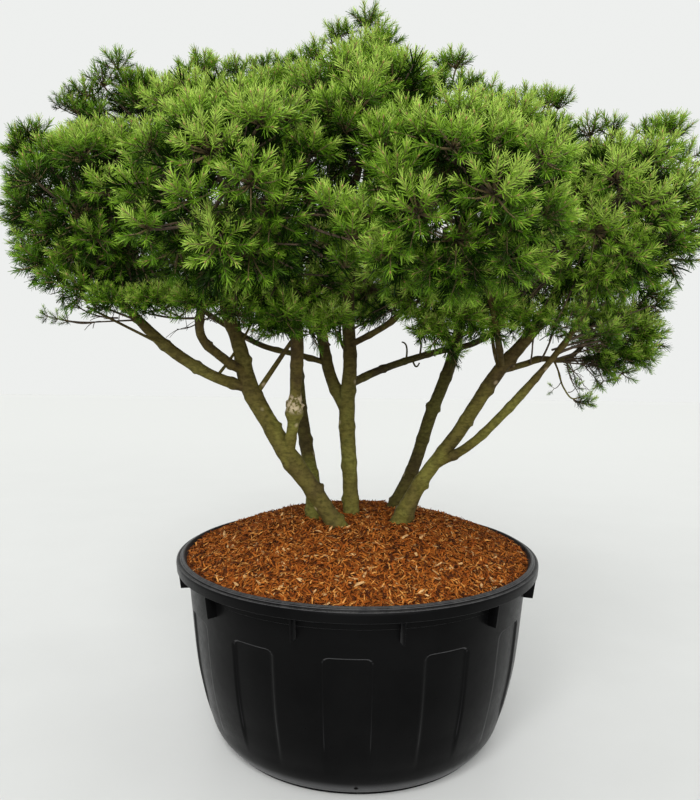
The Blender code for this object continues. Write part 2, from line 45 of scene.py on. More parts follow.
# ---------------------------------------------------------------------------------------------------------
# The tub. One round moulding of black polyethylene: a foot ring, a wall that swells towards the rim with
# twelve sunk panels, and a rim rolled over into a skirt. Two beads with a groove between run round its top.
TUB_TURN = -3.0
PANEL_STEP = 30.0
PANEL_HALF = 7.25
PANEL_HEAD = 0.430
PANEL_FADE = (0.085, 0.170)
PANEL_DEPTH = 0.0055
PANEL_EDGE = 0.0022
PANEL_CORNER = 0.018
PANEL_EDGE_ROWS = 22
# The foot and the rim are (radius, height, rounding) corners, and the wall is (height, radius) pairs.
FOOT = ((0.39, 0.0, 0), (0.414, 0.0, 0.003), (0.416, 0.0132, 0.001), (0.425, 0.0135, 0))
WALL = ((0.014, 0.426), (0.040, 0.447), (0.100, 0.471), (0.210, 0.499), (0.419, 0.524), (0.538, 0.534))
LEDGE_HEIGHT, LEDGE_OUT = 0.5115, 0.0016
RIM = (
    (0.545, 0.560, 0.006), (0.5625, 0.560, 0.004), (0.5640, 0.541, 0.0008), (0.5695, 0.541, 0.0014),
    (0.5712, 0.5640, 0.0030), (0.5695, 0.5705, 0.0026), (0.5645, 0.5712, 0.0024), (0.5618, 0.5688, 0.0020),
    (0.5596, 0.5752, 0.0026), (0.5545, 0.5765, 0.0024), (0.5530, 0.5800, 0.0022), (0.5480, 0.5800, 0.0026),
    (0.5340, 0.545, 0.004), (0.521, 0.500, 0), (0.500, 0.300, 0), (0.458, 0.100, 0), (0.414, 0.014, 0.004),
    (0.0, 0.014, 0))
TUB_COLUMNS = 600
DRAINS, DRAIN_RADIUS, DRAIN_HEIGHT = 6, 0.0065, 0.036
DRAIN_FROM_AXIS, DRAIN_BORE_LONG = 0.437, 0.07
# The first grey is painted highlight on the tub's edges.
# The second grey is dust and painted sheen on the tub's tops.
HIGHLIGHT_GREY, DUST_AND_SHEEN_GREY = (0.050, 0.050, 0.052), (0.105, 0.102, 0.098)


def eased(knots, values, at):
    """A smooth curve through the knots, read at the places given."""
    knots, values, at = (np.asarray(v, float) for v in (knots, values, at))
    slopes = np.gradient(values, knots)
    k = np.clip(np.searchsorted(knots, at, side="right") - 1, 0, len(knots) - 2)
    span = knots[k + 1] - knots[k]
    t = (at - knots[k]) / span
    return ((2 * t**3 - 3 * t**2 + 1) * values[k] + (t**3 - 2 * t**2 + t) * span * slopes[k]
            + (3 * t**2 - 2 * t**3) * values[k + 1] + (t**3 - t**2) * span * slopes[k + 1])


def on_bow(start, bend, end, t):
    """The place at the share t of a bow from start to end that is drawn towards bend."""
    return start * (1 - t) ** 2 + bend * 2 * t * (1 - t) + end * t**2


def filleted(corners):
    """An outline whose corners are rounded by their own radius, as (radius, height) points."""
    done = []
    for k, (radius, height, round_off) in enumerate(corners):
        here = np.array((radius, height))
        if not round_off:
            done.append(tuple(here))
            continue
        before, after = np.array(corners[k - 1][:2]), np.array(corners[k + 1][:2])
        cut = min(round_off, 0.45 * np.linalg.norm(before - here), 0.45 * np.linalg.norm(after - here))
        start = here + (before - here) / np.linalg.norm(before - here) * cut
        end = here + (after - here) / np.linalg.norm(after - here) * cut
        for t in (0, 0.25, 0.5, 0.75, 1):
            done.append(tuple(on_bow(start, here, end, t)))
    return done


def turned(outline, columns):
    """A solid turned round the upright axis from an outline of (radius, height) points."""
    tool = bmesh.new()
    line = [tool.verts.new((0.0, -radius, height)) for radius, height in outline]
    edges = [tool.edges.new(pair) for pair in zip(line, line[1:])]
    bmesh.ops.spin(tool, geom=line + edges, cent=(0, 0, 0), axis=(0, 0, 1), dvec=(0, 0, 0),
                   angle=2 * math.pi, steps=columns, use_merge=True)
    bmesh.ops.remove_doubles(tool, verts=tool.verts, dist=1e-5)
    bmesh.ops.recalc_face_normals(tool, faces=tool.faces)
    return tool


def placed(tool, name, finish, smooth=None):
    """The finished mesh as an object, smooth up to the angle given."""
    mesh = bpy.data.meshes.new(name)
    tool.to_mesh(mesh)
    tool.free()
    obj = bpy.data.objects.new(name, mesh)
    bpy.context.scene.collection.objects.link(obj)
    mesh.materials.append(finish)
    if smooth:
        mesh.shade_smooth()
        mesh.set_sharp_from_angle(angle=math.radians(smooth))
    return obj


def fitted(piece, slot, *nodes):
    """Hands the piece to the frame: it takes the place of the nodes and rides on the one body."""
    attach(piece, "root")
    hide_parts(*nodes)


def new_finish(name, roughness):
    """A material with its node tree and its shader."""
    made = bpy.data.materials.new(name)
    made.use_nodes = True
    shader = made.node_tree.nodes["Principled BSDF"]
    shader.inputs["Roughness"].default_value = roughness
    return made, made.node_tree, shader


def own_place(tree):
    return tree.nodes.new("ShaderNodeTexCoord").outputs["Object"]


def axes_of(tree, vector):
    split = tree.nodes.new("ShaderNodeSeparateXYZ")
    tree.links.new(vector, split.inputs["Vector"])
    return split.outputs


def vector_math(tree, how, first, second=None):
    """One step of vector arithmetic. The second value is a socket or a fixed vector."""
    node = tree.nodes.new("ShaderNodeVectorMath")
    node.operation = how
    tree.links.new(first, node.inputs[0])
    if isinstance(second, tuple):
        node.inputs[1].default_value = second
    elif second:
        tree.links.new(second, node.inputs[1])
    return node.outputs["Value" if how in ("DOT_PRODUCT", "DISTANCE") else "Vector"]


def grain(tree, scale, detail=4.0, stretch=(1, 1, 1), rough=0.55):
    """Noise in the object's own place, drawn out along an axis by a stretch under 1."""
    turn = tree.nodes.new("ShaderNodeMapping")
    turn.inputs["Scale"].default_value = stretch
    made = tree.nodes.new("ShaderNodeTexNoise")
    made.inputs["Scale"].default_value = scale
    made.inputs["Detail"].default_value = detail
    made.inputs["Roughness"].default_value = rough
    tree.links.new(own_place(tree), turn.inputs["Vector"])
    tree.links.new(turn.outputs["Vector"], made.inputs["Vector"])
    return made.outputs["Fac"]


def stops(tree, factor, *marks):
    """A ramp from (place, colour) marks. A plain number stands for a grey."""
    ramp = tree.nodes.new("ShaderNodeValToRGB")
    while len(ramp.color_ramp.elements) < len(marks):
        ramp.color_ramp.elements.new(0.5)
    for element, (place, colour) in zip(ramp.color_ramp.elements, marks):
        element.position = place
        element.color = (*colour, 1) if isinstance(colour, tuple) else (colour, colour, colour, 1)
    tree.links.new(factor, ramp.inputs["Fac"])
    return ramp.outputs["Color"]


def mixed(tree, factor, first, second, how="MIX"):
    """Two colours mixed. Each value is a number, a colour or a socket."""
    node = tree.nodes.new("ShaderNodeMix")
    node.data_type = "RGBA"
    node.blend_type = how
    for socket, value in ((node.inputs[0], factor), (node.inputs[6], first), (node.inputs[7], second)):
        if isinstance(value, (int, float)):
            socket.default_value = value
        elif isinstance(value, tuple):
            socket.default_value = (*value, 1)
        else:
            tree.links.new(value, socket)
    return node.outputs[2]


def bumped(tree, shader, height, depth, strength=1.0, below=None):
    """Relief in metres of depth, laid on the relief below it if there is one."""
    node = tree.nodes.new("ShaderNodeBump")
    node.inputs["Distance"].default_value = depth
    node.inputs["Strength"].default_value = strength
    tree.links.new(height, node.inputs["Height"])
    if below:
        tree.links.new(below, node.inputs["Normal"])
    tree.links.new(node.outputs["Normal"], shader.inputs["Normal"])
    return node.outputs["Normal"]


def wall_radius(height):
    heights, radii = zip(*WALL)
    return eased(heights, radii, height) + LEDGE_OUT * (np.asarray(height) > LEDGE_HEIGHT)


# The wall's rows stand close together where the heads of the panels are sunk, and either side of the ledge.
wall_heights = np.concatenate((
    np.linspace(0.014, 0.080, 8), np.linspace(PANEL_FADE[0], PANEL_HEAD - 0.022, 34),
    np.linspace(PANEL_HEAD - 0.020, PANEL_HEAD + 0.004, PANEL_EDGE_ROWS), np.linspace(0.440, 0.510, 6),
    (LEDGE_HEIGHT - 0.0003, LEDGE_HEIGHT + 0.0007, 0.524, 0.538)))
outline = [(0.0, 0.0), (0.2, 0.0)] + filleted(FOOT)
outline += [(float(wall_radius(z)), float(z)) for z in wall_heights]
outline += filleted(((*outline[-1], 0),) + RIM)[1:]
tool = turned(outline, TUB_COLUMNS)
for vert in tool.verts:
    across = math.hypot(vert.co.x, vert.co.y)
    on_wall = abs(across - wall_radius(vert.co.z)) < 0.001
    if not (on_wall and PANEL_FADE[0] < vert.co.z < PANEL_HEAD + 0.01):
        continue
    turn = math.degrees(math.atan2(vert.co.x, -vert.co.y)) - TUB_TURN
    off = abs((turn + PANEL_STEP / 2) % PANEL_STEP - PANEL_STEP / 2)
    beside = math.radians(off - PANEL_HALF) * across
    beyond = vert.co.z - PANEL_HEAD
    past = max(beside + PANEL_CORNER, 0), max(beyond + PANEL_CORNER, 0)
    distance = math.hypot(*past) + min(max(beside, beyond) + PANEL_CORNER, 0) - PANEL_CORNER
    faded = min((vert.co.z - PANEL_FADE[0]) / (PANEL_FADE[1] - PANEL_FADE[0]), 1)
    sunk = PANEL_DEPTH * faded * min(max(0.5 - distance / (2 * PANEL_EDGE), 0), 1)
    vert.co.x *= (across - sunk) / across
    vert.co.y *= (across - sunk) / across

tub_black, tree, shader = new_finish("tub_black", 0.40)
shader.inputs["Specular IOR Level"].default_value = 0.05
shader.inputs["Sheen Weight"].default_value = 0.05
shader.inputs["Sheen Roughness"].default_value = 0.35
cloudy = grain(tree, 7.0, 3.0)
dust = grain(tree, 38.0, 6.0, rough=0.7)
skin = stops(tree, cloudy, (0.3, (0.0010, 0.0010, 0.0011)), (0.7, (0.0022, 0.0022, 0.0023)))
facing = tree.nodes.new("ShaderNodeNewGeometry").outputs["Normal"]
radial = vector_math(tree, "NORMALIZE", vector_math(tree, "MULTIPLY", own_place(tree), (1, 1, 0)))
facing_out = vector_math(tree, "DOT_PRODUCT", radial, facing)
# Painted highlight: faces turned partway from the wall, on the beads and the panels' edges, are lightened grey.
edges = stops(tree, facing_out, (0.40, 0.0), (0.58, 1.0), (0.78, 1.0), (0.90, 0.0))
highlighted = mixed(tree, edges, skin, HIGHLIGHT_GREY)
# Dust and painted sheen: faces turned up, the rim's top most of all, are lightened to a pale grey in dusty
# patches.
flat_top = stops(tree, axes_of(tree, facing)["Z"], (0.25, 0.0), (0.85, 1.0))
dust_and_sheen = mixed(tree, 1.0, flat_top, stops(tree, dust, (0.40, 0.05), (0.75, 0.55)), "MULTIPLY")
tree.links.new(mixed(tree, dust_and_sheen, highlighted, DUST_AND_SHEEN_GREY), shader.inputs["Base Color"])
tree.links.new(stops(tree, dust, (0.3, 0.27), (0.75, 0.42)), shader.inputs["Roughness"])
waves = bumped(tree, shader, cloudy, 0.004, 0.35)
bumped(tree, shader, grain(tree, 700.0, 2.0), 0.0004, 0.5, below=waves)

tub = placed(tool, "tub_shell", tub_black, 50)
bore = bmesh.new()
for k in range(DRAINS):
    turn = 2 * math.pi * k / DRAINS
    set_in = (Matrix.Rotation(turn, 4, "Z") @ Matrix.Translation((0, -DRAIN_FROM_AXIS, DRAIN_HEIGHT))
              @ Matrix.Rotation(math.pi / 2, 4, "X"))
    bmesh.ops.create_cone(bore, cap_ends=True, segments=16, radius1=DRAIN_RADIUS, radius2=DRAIN_RADIUS,
                          depth=DRAIN_BORE_LONG, matrix=set_in)
bore = placed(bore, "drain_bore", tub_black)
cut = tub.modifiers.new("drains", "BOOLEAN")
cut.object, cut.operation, cut.solver = bore, "DIFFERENCE", "MANIFOLD"
bpy.context.view_layer.update()
tub.data = bpy.data.meshes.new_from_object(tub.evaluated_get(bpy.context.evaluated_depsgraph_get()))
tub.modifiers.clear()
bpy.data.objects.remove(bore)
fitted(tub, "tub_plastic", "tub")


# ---------------------------------------------------------------------------------------------------------
# The gussets. Twelve thin plates of the same moulding that brace the rolled rim from below, one between
# each two panels, their foot showing under the skirt.
GUSSETS, GUSSET_TURN = 12, 12.0
GUSSET_THICK, GUSSET_BEVEL = 0.005, 0.0009
GUSSET_EDGE = ((0.544, 0.562), (0.531, 0.535), (0.522, 0.475), (0.558, 0.475), (0.5655, 0.532), (0.5655, 0.562))

tool = bmesh.new()
for k in range(GUSSETS):
    plate = tool.faces.new([tool.verts.new((-GUSSET_THICK / 2, -radius, z)) for radius, z in GUSSET_EDGE])
    grown = bmesh.ops.extrude_face_region(tool, geom=[plate])["geom"]
    moved = [part for part in grown if isinstance(part, bmesh.types.BMVert)]
    bmesh.ops.translate(tool, verts=moved, vec=(GUSSET_THICK, 0, 0))
    whole = list(plate.verts) + moved
    bmesh.ops.rotate(tool, verts=whole, cent=(0, 0, 0),
                     matrix=Matrix.Rotation(math.radians(GUSSET_TURN + 360 / GUSSETS * k), 3, "Z"))
bmesh.ops.bevel(tool, geom=tool.edges[:], offset=GUSSET_BEVEL, segments=2, profile=0.5, affect="EDGES",
                material=-1)
bmesh.ops.recalc_face_normals(tool, faces=tool.faces)
gussets = placed(tool, "tub_gussets", tub_black, 40)
fitted(gussets, "tub_plastic", "tub")


# ---------------------------------------------------------------------------------------------------------
# The root ball. Dark potting soil that fills the tub up to just under the rim. The mulch hides it, and it
# shows only through the drain holes.
soil_brown, tree, shader = new_finish("soil_brown", 0.95)
crumbs = grain(tree, 160.0, 6.0, rough=0.7)
tree.links.new(stops(tree, crumbs, (0.3, (0.008, 0.005, 0.003)), (0.7, (0.045, 0.026, 0.015))),
               shader.inputs["Base Color"])
bumped(tree, shader, crumbs, 0.004)
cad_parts["soil"].data.materials[0] = soil_brown


# ---------------------------------------------------------------------------------------------------------
# The mulch. A domed layer of shredded pine bark, tipped on by hand: a bed of fines with fibres and flakes
# lying on it every way, most of them red brown, some fresh and tan, some old and dark.
MULCH_RADIUS = 0.540
MULCH_EDGE, MULCH_CREST = 0.569, 0.131
MULCH_BELOW = ((0.0, 0.6406), (0.30, 0.6406), (0.520, 0.5312))
BED_ROWS, BED_COLUMNS, BED_DOWN = 60, 180, 0.004
LUMP_TALL, LUMP_CLOSE = 0.005, 22
CRUMB_TALL, CRUMB_CLOSE = 0.0035, 85
# How many, how long, how wide, and the colour.
FIBRES = {
    "red": (9800, (0.012, 0.032), (0.0026, 0.0054), (0.275, 0.066, 0.007)),
    "rust": (8800, (0.010, 0.030), (0.0024, 0.0056), (0.425, 0.130, 0.018)),
    "tan": (2700, (0.010, 0.032), (0.0022, 0.0050), (0.620, 0.275, 0.066)),
    "pale": (420, (0.014, 0.034), (0.0055, 0.0110), (0.600, 0.350, 0.145)),
    "dark": (5200, (0.010, 0.026), (0.0030, 0.0060), (0.060, 0.015, 0.004)),
}
# The stems stand here, as x, y and reach of the flare. What would fall on one lies on the clear ground instead.
STEM_FEET = ((-0.045, -0.140, 0.045), (-0.120, -0.050, 0.050), (-0.020, -0.044, 0.040),
             (0.104, 0.105, 0.036), (0.115, -0.095, 0.045))
CLEAR_GROUND = (0.3, -0.2)


def mulch_height(x, y):
    share = (x * x + y * y) / MULCH_RADIUS**2
    return MULCH_EDGE + MULCH_CREST * (1 - share)


def from_arrays(name, points, corners, finish, smooth=False):
    """A joined mesh of triangles from its points and the numbers of their corners."""
    mesh = bpy.data.meshes.new(name)
    mesh.vertices.add(len(points))
    mesh.vertices.foreach_set("co", np.ascontiguousarray(points, np.float32).ravel())
    mesh.loops.add(3 * len(corners))
    mesh.loops.foreach_set("vertex_index", np.ascontiguousarray(corners, np.int32).ravel())
    mesh.polygons.add(len(corners))
    mesh.polygons.foreach_set("loop_start", np.arange(0, 3 * len(corners), 3, dtype=np.int32))
    mesh.update(calc_edges=True)
    if smooth:
        mesh.shade_smooth()
    else:
        mesh.shade_flat()
    mesh.materials.append(finish)
    obj = bpy.data.objects.new(name, mesh)
    bpy.context.scene.collection.objects.link(obj)
    return obj


def unit(v):
    return v / np.linalg.norm(v, axis=-1, keepdims=True)


outline = list(MULCH_BELOW) + [(MULCH_RADIUS * share, float(mulch_height(MULCH_RADIUS * share, 0)) - BED_DOWN)
                               for share in np.linspace(1, 0, BED_ROWS)]
tool = turned(outline, BED_COLUMNS)
for vert in tool.verts:
    on_top = vert.co.z > mulch_height(vert.co.x, vert.co.y) - BED_DOWN - 0.002
    if on_top and math.hypot(vert.co.x, vert.co.y) < MULCH_RADIUS - 0.010:
        vert.co.z += (LUMP_TALL * noise.noise(vert.co * LUMP_CLOSE)
                      + CRUMB_TALL * noise.noise(vert.co * CRUMB_CLOSE))

mulch_fines, tree, shader = new_finish("mulch_fines", 0.93)
shader.inputs["Specular IOR Level"].default_value = 0.12
crumbs = grain(tree, 210.0, 5.0, rough=0.65)
tree.links.new(stops(tree, crumbs, (0.30, (0.030, 0.008, 0.002)), (0.52, (0.150, 0.040, 0.007)),
                     (0.75, (0.340, 0.110, 0.020))), shader.inputs["Base Color"])
bumped(tree, shader, crumbs, 0.005)
bed = placed(tool, "mulch_bed", mulch_fines, 60)
fitted(bed, "bark_mulch", "mulch")

dealt = np.random.default_rng(17)
for shade, (count, long_range, wide_range, colour) in FIBRES.items():
    radius = (MULCH_RADIUS - 0.006) * np.sqrt(dealt.uniform(0, 1, count))
    angle = dealt.uniform(0, 2 * math.pi, count)
    spot = np.stack((radius * np.cos(angle), radius * np.sin(angle)), 1)
    for x, y, near in STEM_FEET:
        close = np.hypot(spot[:, 0] - x, spot[:, 1] - y) < near * 0.62
        spot[close] = np.array(CLEAR_GROUND) + dealt.uniform(-0.1, 0.1, (close.sum(), 2))
    lumps = [Vector((x * LUMP_CLOSE, y * LUMP_CLOSE, mulch_height(x, y) * LUMP_CLOSE)) for x, y in spot]
    tops = np.array([LUMP_TALL * noise.noise(lump) for lump in lumps])
    middle = np.column_stack((spot, mulch_height(spot[:, 0], spot[:, 1]) + tops - 0.002
                              + dealt.uniform(0.0, 0.007, count)))
    slope = unit(np.column_stack((2 * MULCH_CREST / MULCH_RADIUS**2 * spot, np.ones(count)))
                 + dealt.normal(0, 0.30, (count, 3)))
    way = unit(np.cross(slope, dealt.normal(0, 1, (count, 3))))
    side = np.cross(slope, way)
    long = dealt.uniform(*long_range, count)[:, None]
    wide = dealt.uniform(*wide_range, count)[:, None]
    thick = wide * dealt.uniform(0.25, 0.55, (count, 1))
    bow = dealt.uniform(-0.12, 0.16, (count, 1)) * long
    points = np.stack((
        middle - way * long / 2 + side * wide * 0.3,
        middle - way * long / 2 - side * wide * 0.3,
        middle + side * wide * 0.5 + slope * bow - way * long * 0.08,
        middle - side * wide * 0.5 + slope * bow + way * long * 0.10,
        middle + slope * (bow - thick),
        middle + way * long / 2 + side * wide * dealt.uniform(-0.5, 0.5, (count, 1)) + slope * thick * 0.3), 1)
    shape = np.array(((0, 2, 1), (1, 2, 3), (0, 4, 2), (0, 1, 4), (1, 3, 4), (2, 5, 3), (2, 4, 5), (3, 5, 4)))
    corners = (np.arange(count)[:, None, None] * 6 + shape).reshape(-1, 3)
    fibre_finish, tree, shader = new_finish("mulch_" + shade, 0.88)
    shader.inputs["Specular IOR Level"].default_value = 0.12
    fibrous = grain(tree, 130.0, 4.0, rough=0.65)
    deep = tuple(c * 0.50 for c in colour)
    tree.links.new(stops(tree, fibrous, (0.32, deep), (0.66, colour)), shader.inputs["Base Color"])
    bumped(tree, shader, grain(tree, 600.0, 3.0), 0.001, 0.7)
    fibres = from_arrays("mulch_fibres_" + shade, points.reshape(-1, 3), corners, fibre_finish)
    fitted(fibres, "bark_mulch", "mulch")


# ---------------------------------------------------------------------------------------------------------
# The stems, limbs and boughs. Bare leaning wood of a pine shorn for years: smooth olive bark with a fine
# scaly skin, swollen where whorls of twigs grew, with stubs and pale healed scars where they were cut off.
GROUND = 0.640
# A mass of foliage: the bearing, reach and height of its centre, its half width and its half height.
MASSES = {
    "foliage_outer_front_left": (-25, 0.69, 1.57, 0.33, 0.27),
    "foliage_outer_left_front": (-67, 0.73, 1.597, 0.335, 0.28),
    "foliage_outer_left": (-105, 0.72, 1.59, 0.33, 0.293),
    "foliage_outer_back_left": (-145, 0.69, 1.58, 0.33, 0.28),
    "foliage_outer_back": (175, 0.68, 1.58, 0.33, 0.28),
    "foliage_outer_back_right": (135, 0.7, 1.555, 0.33, 0.285),
    "foliage_outer_right": (98, 0.73, 1.64, 0.33, 0.29),
    "foliage_outer_right_front": (61, 0.73, 1.573, 0.33, 0.267),
    "foliage_outer_front_right": (16, 0.7, 1.552, 0.33, 0.26),
    "foliage_middle_front": (3, 0.39, 1.781, 0.328, 0.223),
    "foliage_middle_front_left": (-58, 0.45, 1.782, 0.328, 0.218),
    "foliage_middle_left": (-98, 0.65, 1.864, 0.343, 0.24),
    "foliage_middle_back_left": (-155, 0.46, 1.84, 0.33, 0.235),
    "foliage_middle_back": (152, 0.5, 1.825, 0.33, 0.235),
    "foliage_middle_right": (111, 0.58, 1.811, 0.33, 0.224),
    "foliage_middle_front_right": (50, 0.43, 1.72, 0.324, 0.217),
    "foliage_top_left": (-86, 0.23, 1.935, 0.28, 0.166),
    "foliage_top_peak": (35, 0.01, 2.051, 0.178, 0.182),
    "foliage_top_back": (168, 0.22, 1.96, 0.27, 0.175),
    "foliage_low_front_left": (-36, 0.37, 1.43, 0.24, 0.17),
    "foliage_low_front_right": (34, 0.35, 1.41, 0.208, 0.163),
    "foliage_low_back": (172, 0.34, 1.45, 0.24, 0.17),
    "foliage_low_right": (87, 0.76, 1.26, 0.19, 0.14),
    "foliage_drooping_tuft": (82, 0.71, 1.058, 0.055, 0.05),
}
# A limb: the one that it leaves, the mass that it carries, and (x, y, z, radius) from its foot to its tip.
LIMBS = {
    "stem_front_left": (None, "foliage_middle_left", (
        (-0.039, -0.137, GROUND, 0.037), (-0.073, -0.145, 0.695, 0.028), (-0.140, -0.160, 0.802, 0.026),
        (-0.202, -0.170, 0.888, 0.029), (-0.267, -0.160, 0.994, 0.0255), (-0.329, -0.140, 1.100, 0.0265),
        (-0.368, -0.100, 1.228, 0.0215), (-0.414, -0.060, 1.350, 0.020), (-0.405, -0.020, 1.560, 0.016))),
    "stem_back_left": (None, "foliage_middle_back_left", (
        (-0.119, -0.058, GROUND, 0.041), (-0.130, -0.030, 0.699, 0.036), (-0.143, 0.005, 0.765, 0.025),
        (-0.155, 0.035, 0.824, 0.0225), (-0.195, 0.110, 1.029, 0.021), (-0.218, 0.220, 1.297, 0.019),
        (-0.215, 0.280, 1.500, 0.015))),
    "stem_middle": (None, "foliage_top_peak", (
        (-0.019, -0.045, GROUND, 0.034), (-0.021, -0.040, 0.703, 0.026), (-0.026, -0.030, 0.813, 0.0235),
        (-0.038, -0.010, 1.041, 0.0245), (-0.030, 0.000, 1.152, 0.022), (-0.039, 0.040, 1.375, 0.020),
        (-0.020, 0.030, 1.600, 0.017), (0.020, 0.000, 1.780, 0.013))),
    "stem_right_back": (None, "foliage_middle_right", (
        (0.101, 0.104, GROUND, 0.030), (0.131, 0.110, 0.704, 0.0225), (0.177, 0.120, 0.795, 0.021),
        (0.248, 0.160, 0.999, 0.021), (0.319, 0.210, 1.175, 0.020), (0.353, 0.250, 1.304, 0.019),
        (0.365, 0.235, 1.500, 0.016))),
    "stem_right_front": (None, "foliage_outer_right", (
        (0.111, -0.094, GROUND, 0.038), (0.137, -0.100, 0.699, 0.030), (0.177, -0.110, 0.790, 0.023),
        (0.297, -0.130, 0.967, 0.0205), (0.421, -0.160, 1.172, 0.0195), (0.488, -0.180, 1.258, 0.0175),
        (0.540, -0.170, 1.334, 0.0165), (0.600, -0.090, 1.400, 0.015))),
    "limb_upright": ("stem_front_left", "foliage_low_front_left", (
        (-0.209, -0.170, 0.900, 0.0165), (-0.197, -0.198, 0.980, 0.0160), (-0.193, -0.205, 1.008, 0.0180),
        (-0.191, -0.210, 1.030, 0.0265), (-0.189, -0.216, 1.053, 0.0185), (-0.187, -0.223, 1.077, 0.0168),
        (-0.184, -0.240, 1.130, 0.0172), (-0.178, -0.290, 1.250, 0.0172))),
    "limb_middle_left": ("stem_middle", "foliage_top_left", (
        (-0.040, -0.010, 1.030, 0.021), (-0.081, 0.020, 1.102, 0.0195), (-0.123, 0.080, 1.262, 0.0175),
        (-0.141, 0.110, 1.361, 0.0165), (-0.160, 0.080, 1.580, 0.014), (-0.168, 0.020, 1.780, 0.012))),
    "bough_left_long": ("stem_front_left", "foliage_outer_left_front", (
        (-0.329, -0.140, 1.100, 0.016), (-0.408, -0.150, 1.123, 0.016), (-0.549, -0.170, 1.205, 0.017),
        (-0.649, -0.190, 1.300, 0.014), (-0.690, -0.230, 1.360, 0.013))),
    "bough_left_rise": ("stem_front_left", "foliage_outer_front_left", (
        (-0.345, -0.130, 1.145, 0.013), (-0.400, -0.200, 1.190, 0.0135), (-0.444, -0.260, 1.240, 0.0125),
        (-0.430, -0.370, 1.320, 0.012), (-0.380, -0.480, 1.400, 0.011))),
    "bough_right_long": ("stem_middle", "foliage_outer_back_right", (
        (-0.030, 0.000, 1.107, 0.013), (0.050, 0.110, 1.140, 0.013), (0.160, 0.240, 1.175, 0.012),
        (0.290, 0.330, 1.210, 0.0115), (0.430, 0.360, 1.245, 0.011), (0.520, 0.400, 1.310, 0.011))),
    "bough_thin_left": ("limb_middle_left", "foliage_outer_left", (
        (-0.103, 0.050, 1.171, 0.009), (-0.182, 0.040, 1.194, 0.009), (-0.309, 0.020, 1.225, 0.0085),
        (-0.430, 0.030, 1.290, 0.0085), (-0.560, 0.110, 1.380, 0.008))),
    "bough_right_outer": ("stem_right_front", "foliage_outer_right_front", (
        (0.240, -0.120, 0.876, 0.014), (0.314, -0.160, 0.925, 0.0135), (0.416, -0.220, 1.038, 0.013),
        (0.493, -0.270, 1.143, 0.013), (0.576, -0.310, 1.267, 0.012), (0.610, -0.340, 1.340, 0.011))),
    "bough_right_low": ("stem_right_front", "foliage_low_right", (
        (0.415, -0.158, 1.160, 0.010), (0.503, -0.100, 1.180, 0.0095), (0.559, -0.070, 1.195, 0.009),
        (0.641, -0.050, 1.195, 0.008))),
    "twig_drooping": ("bough_right_low", "foliage_drooping_tuft", (
        (0.600, -0.060, 1.195, 0.0042), (0.612, -0.066, 1.165, 0.0036), (0.628, -0.085, 1.107, 0.0034),
        (0.655, -0.092, 1.075, 0.0032))),
    "bough_back_left": ("stem_back_left", "foliage_outer_back_left", (
        (-0.212, 0.190, 1.230, 0.012), (-0.290, 0.340, 1.340, 0.0115), (-0.360, 0.460, 1.410, 0.011))),
    "bough_back": ("stem_right_back", "foliage_outer_back", (
        (0.335, 0.230, 1.240, 0.012), (0.260, 0.430, 1.330, 0.0115), (0.160, 0.540, 1.410, 0.011))),
    "bough_front_right": ("stem_right_front", "foliage_outer_front_right", (
        (0.421, -0.160, 1.172, 0.010), (0.385, -0.280, 1.245, 0.0095), (0.330, -0.440, 1.360, 0.009),
        (0.300, -0.520, 1.400, 0.009))),
    "bough_middle_front": ("stem_middle", "foliage_middle_front", (
        (-0.037, 0.037, 1.430, 0.011), (-0.035, -0.120, 1.560, 0.0105), (-0.030, -0.230, 1.650, 0.010))),
    "bough_middle_front_left": ("stem_front_left", "foliage_middle_front_left", (
        (-0.414, -0.060, 1.380, 0.011), (-0.395, -0.170, 1.520, 0.0105), (-0.375, -0.230, 1.640, 0.010))),
    "bough_middle_back": ("stem_right_back", "foliage_middle_back", (
        (0.353, 0.250, 1.330, 0.011), (0.300, 0.320, 1.490, 0.0105), (0.240, 0.365, 1.640, 0.010))),
    "bough_middle_front_right": ("stem_right_front", "foliage_middle_front_right", (
        (0.500, -0.180, 1.270, 0.011), (0.425, -0.205, 1.420, 0.0105), (0.370, -0.250, 1.580, 0.010))),
    "bough_top_back": ("stem_middle", "foliage_top_back", (
        (-0.020, 0.030, 1.620, 0.010), (0.015, 0.090, 1.730, 0.0095), (0.030, 0.130, 1.790, 0.009))),
    "bough_low_front_right": ("stem_middle", "foliage_low_front_right", (
        (-0.032, 0.010, 1.230, 0.010), (0.050, -0.100, 1.275, 0.0095), (0.100, -0.170, 1.310, 0.009))),
    "bough_low_back": ("limb_middle_left", "foliage_low_back", (
        (-0.123, 0.080, 1.262, 0.010), (-0.070, 0.160, 1.320, 0.0095), (-0.020, 0.230, 1.350, 0.009))),
}
LIMB_END = 0.86
INSIDE = 0.40
BARK_FULLER = 1.02
# From this share of its length on, a limb is only this much of its thickness.
THINNED = {"bough_right_outer": (0.42, 0.66), "bough_left_long": (0.55, 0.72), "twig_drooping": (0.0, 0.75)}
RIPPLES = ((0.05, 30), (0.035, 75))
WHORL_STEP, WHORL_SWELL, WHORL_LONG = 0.115, 0.09, 0.011
STUB_LONG, STUB_WIDE = 0.013, 0.012
FLARE_SWELL, FLARE_LONG = 0.16, 0.075
COLLAR_SWELL, COLLAR_LONG = 0.16, 0.040
# The large pale knot: its place along its limb, its middle, and its length.
GNARL_AT, GNARL, GNARL_LONG = 0.167, (-0.188, -0.218, 1.062), 0.016
HEALED_PALE, GNARL_PALE = (0.34, 0.29, 0.16), (0.48, 0.40, 0.25)


def mass_size(name):
    return np.array((MASSES[name][3], MASSES[name][3], MASSES[name][4]))


def mass_centre(name):
    turn, reach, height = MASSES[name][:3]
    return np.array((reach * math.sin(math.radians(turn)), -reach * math.cos(math.radians(turn)), height))


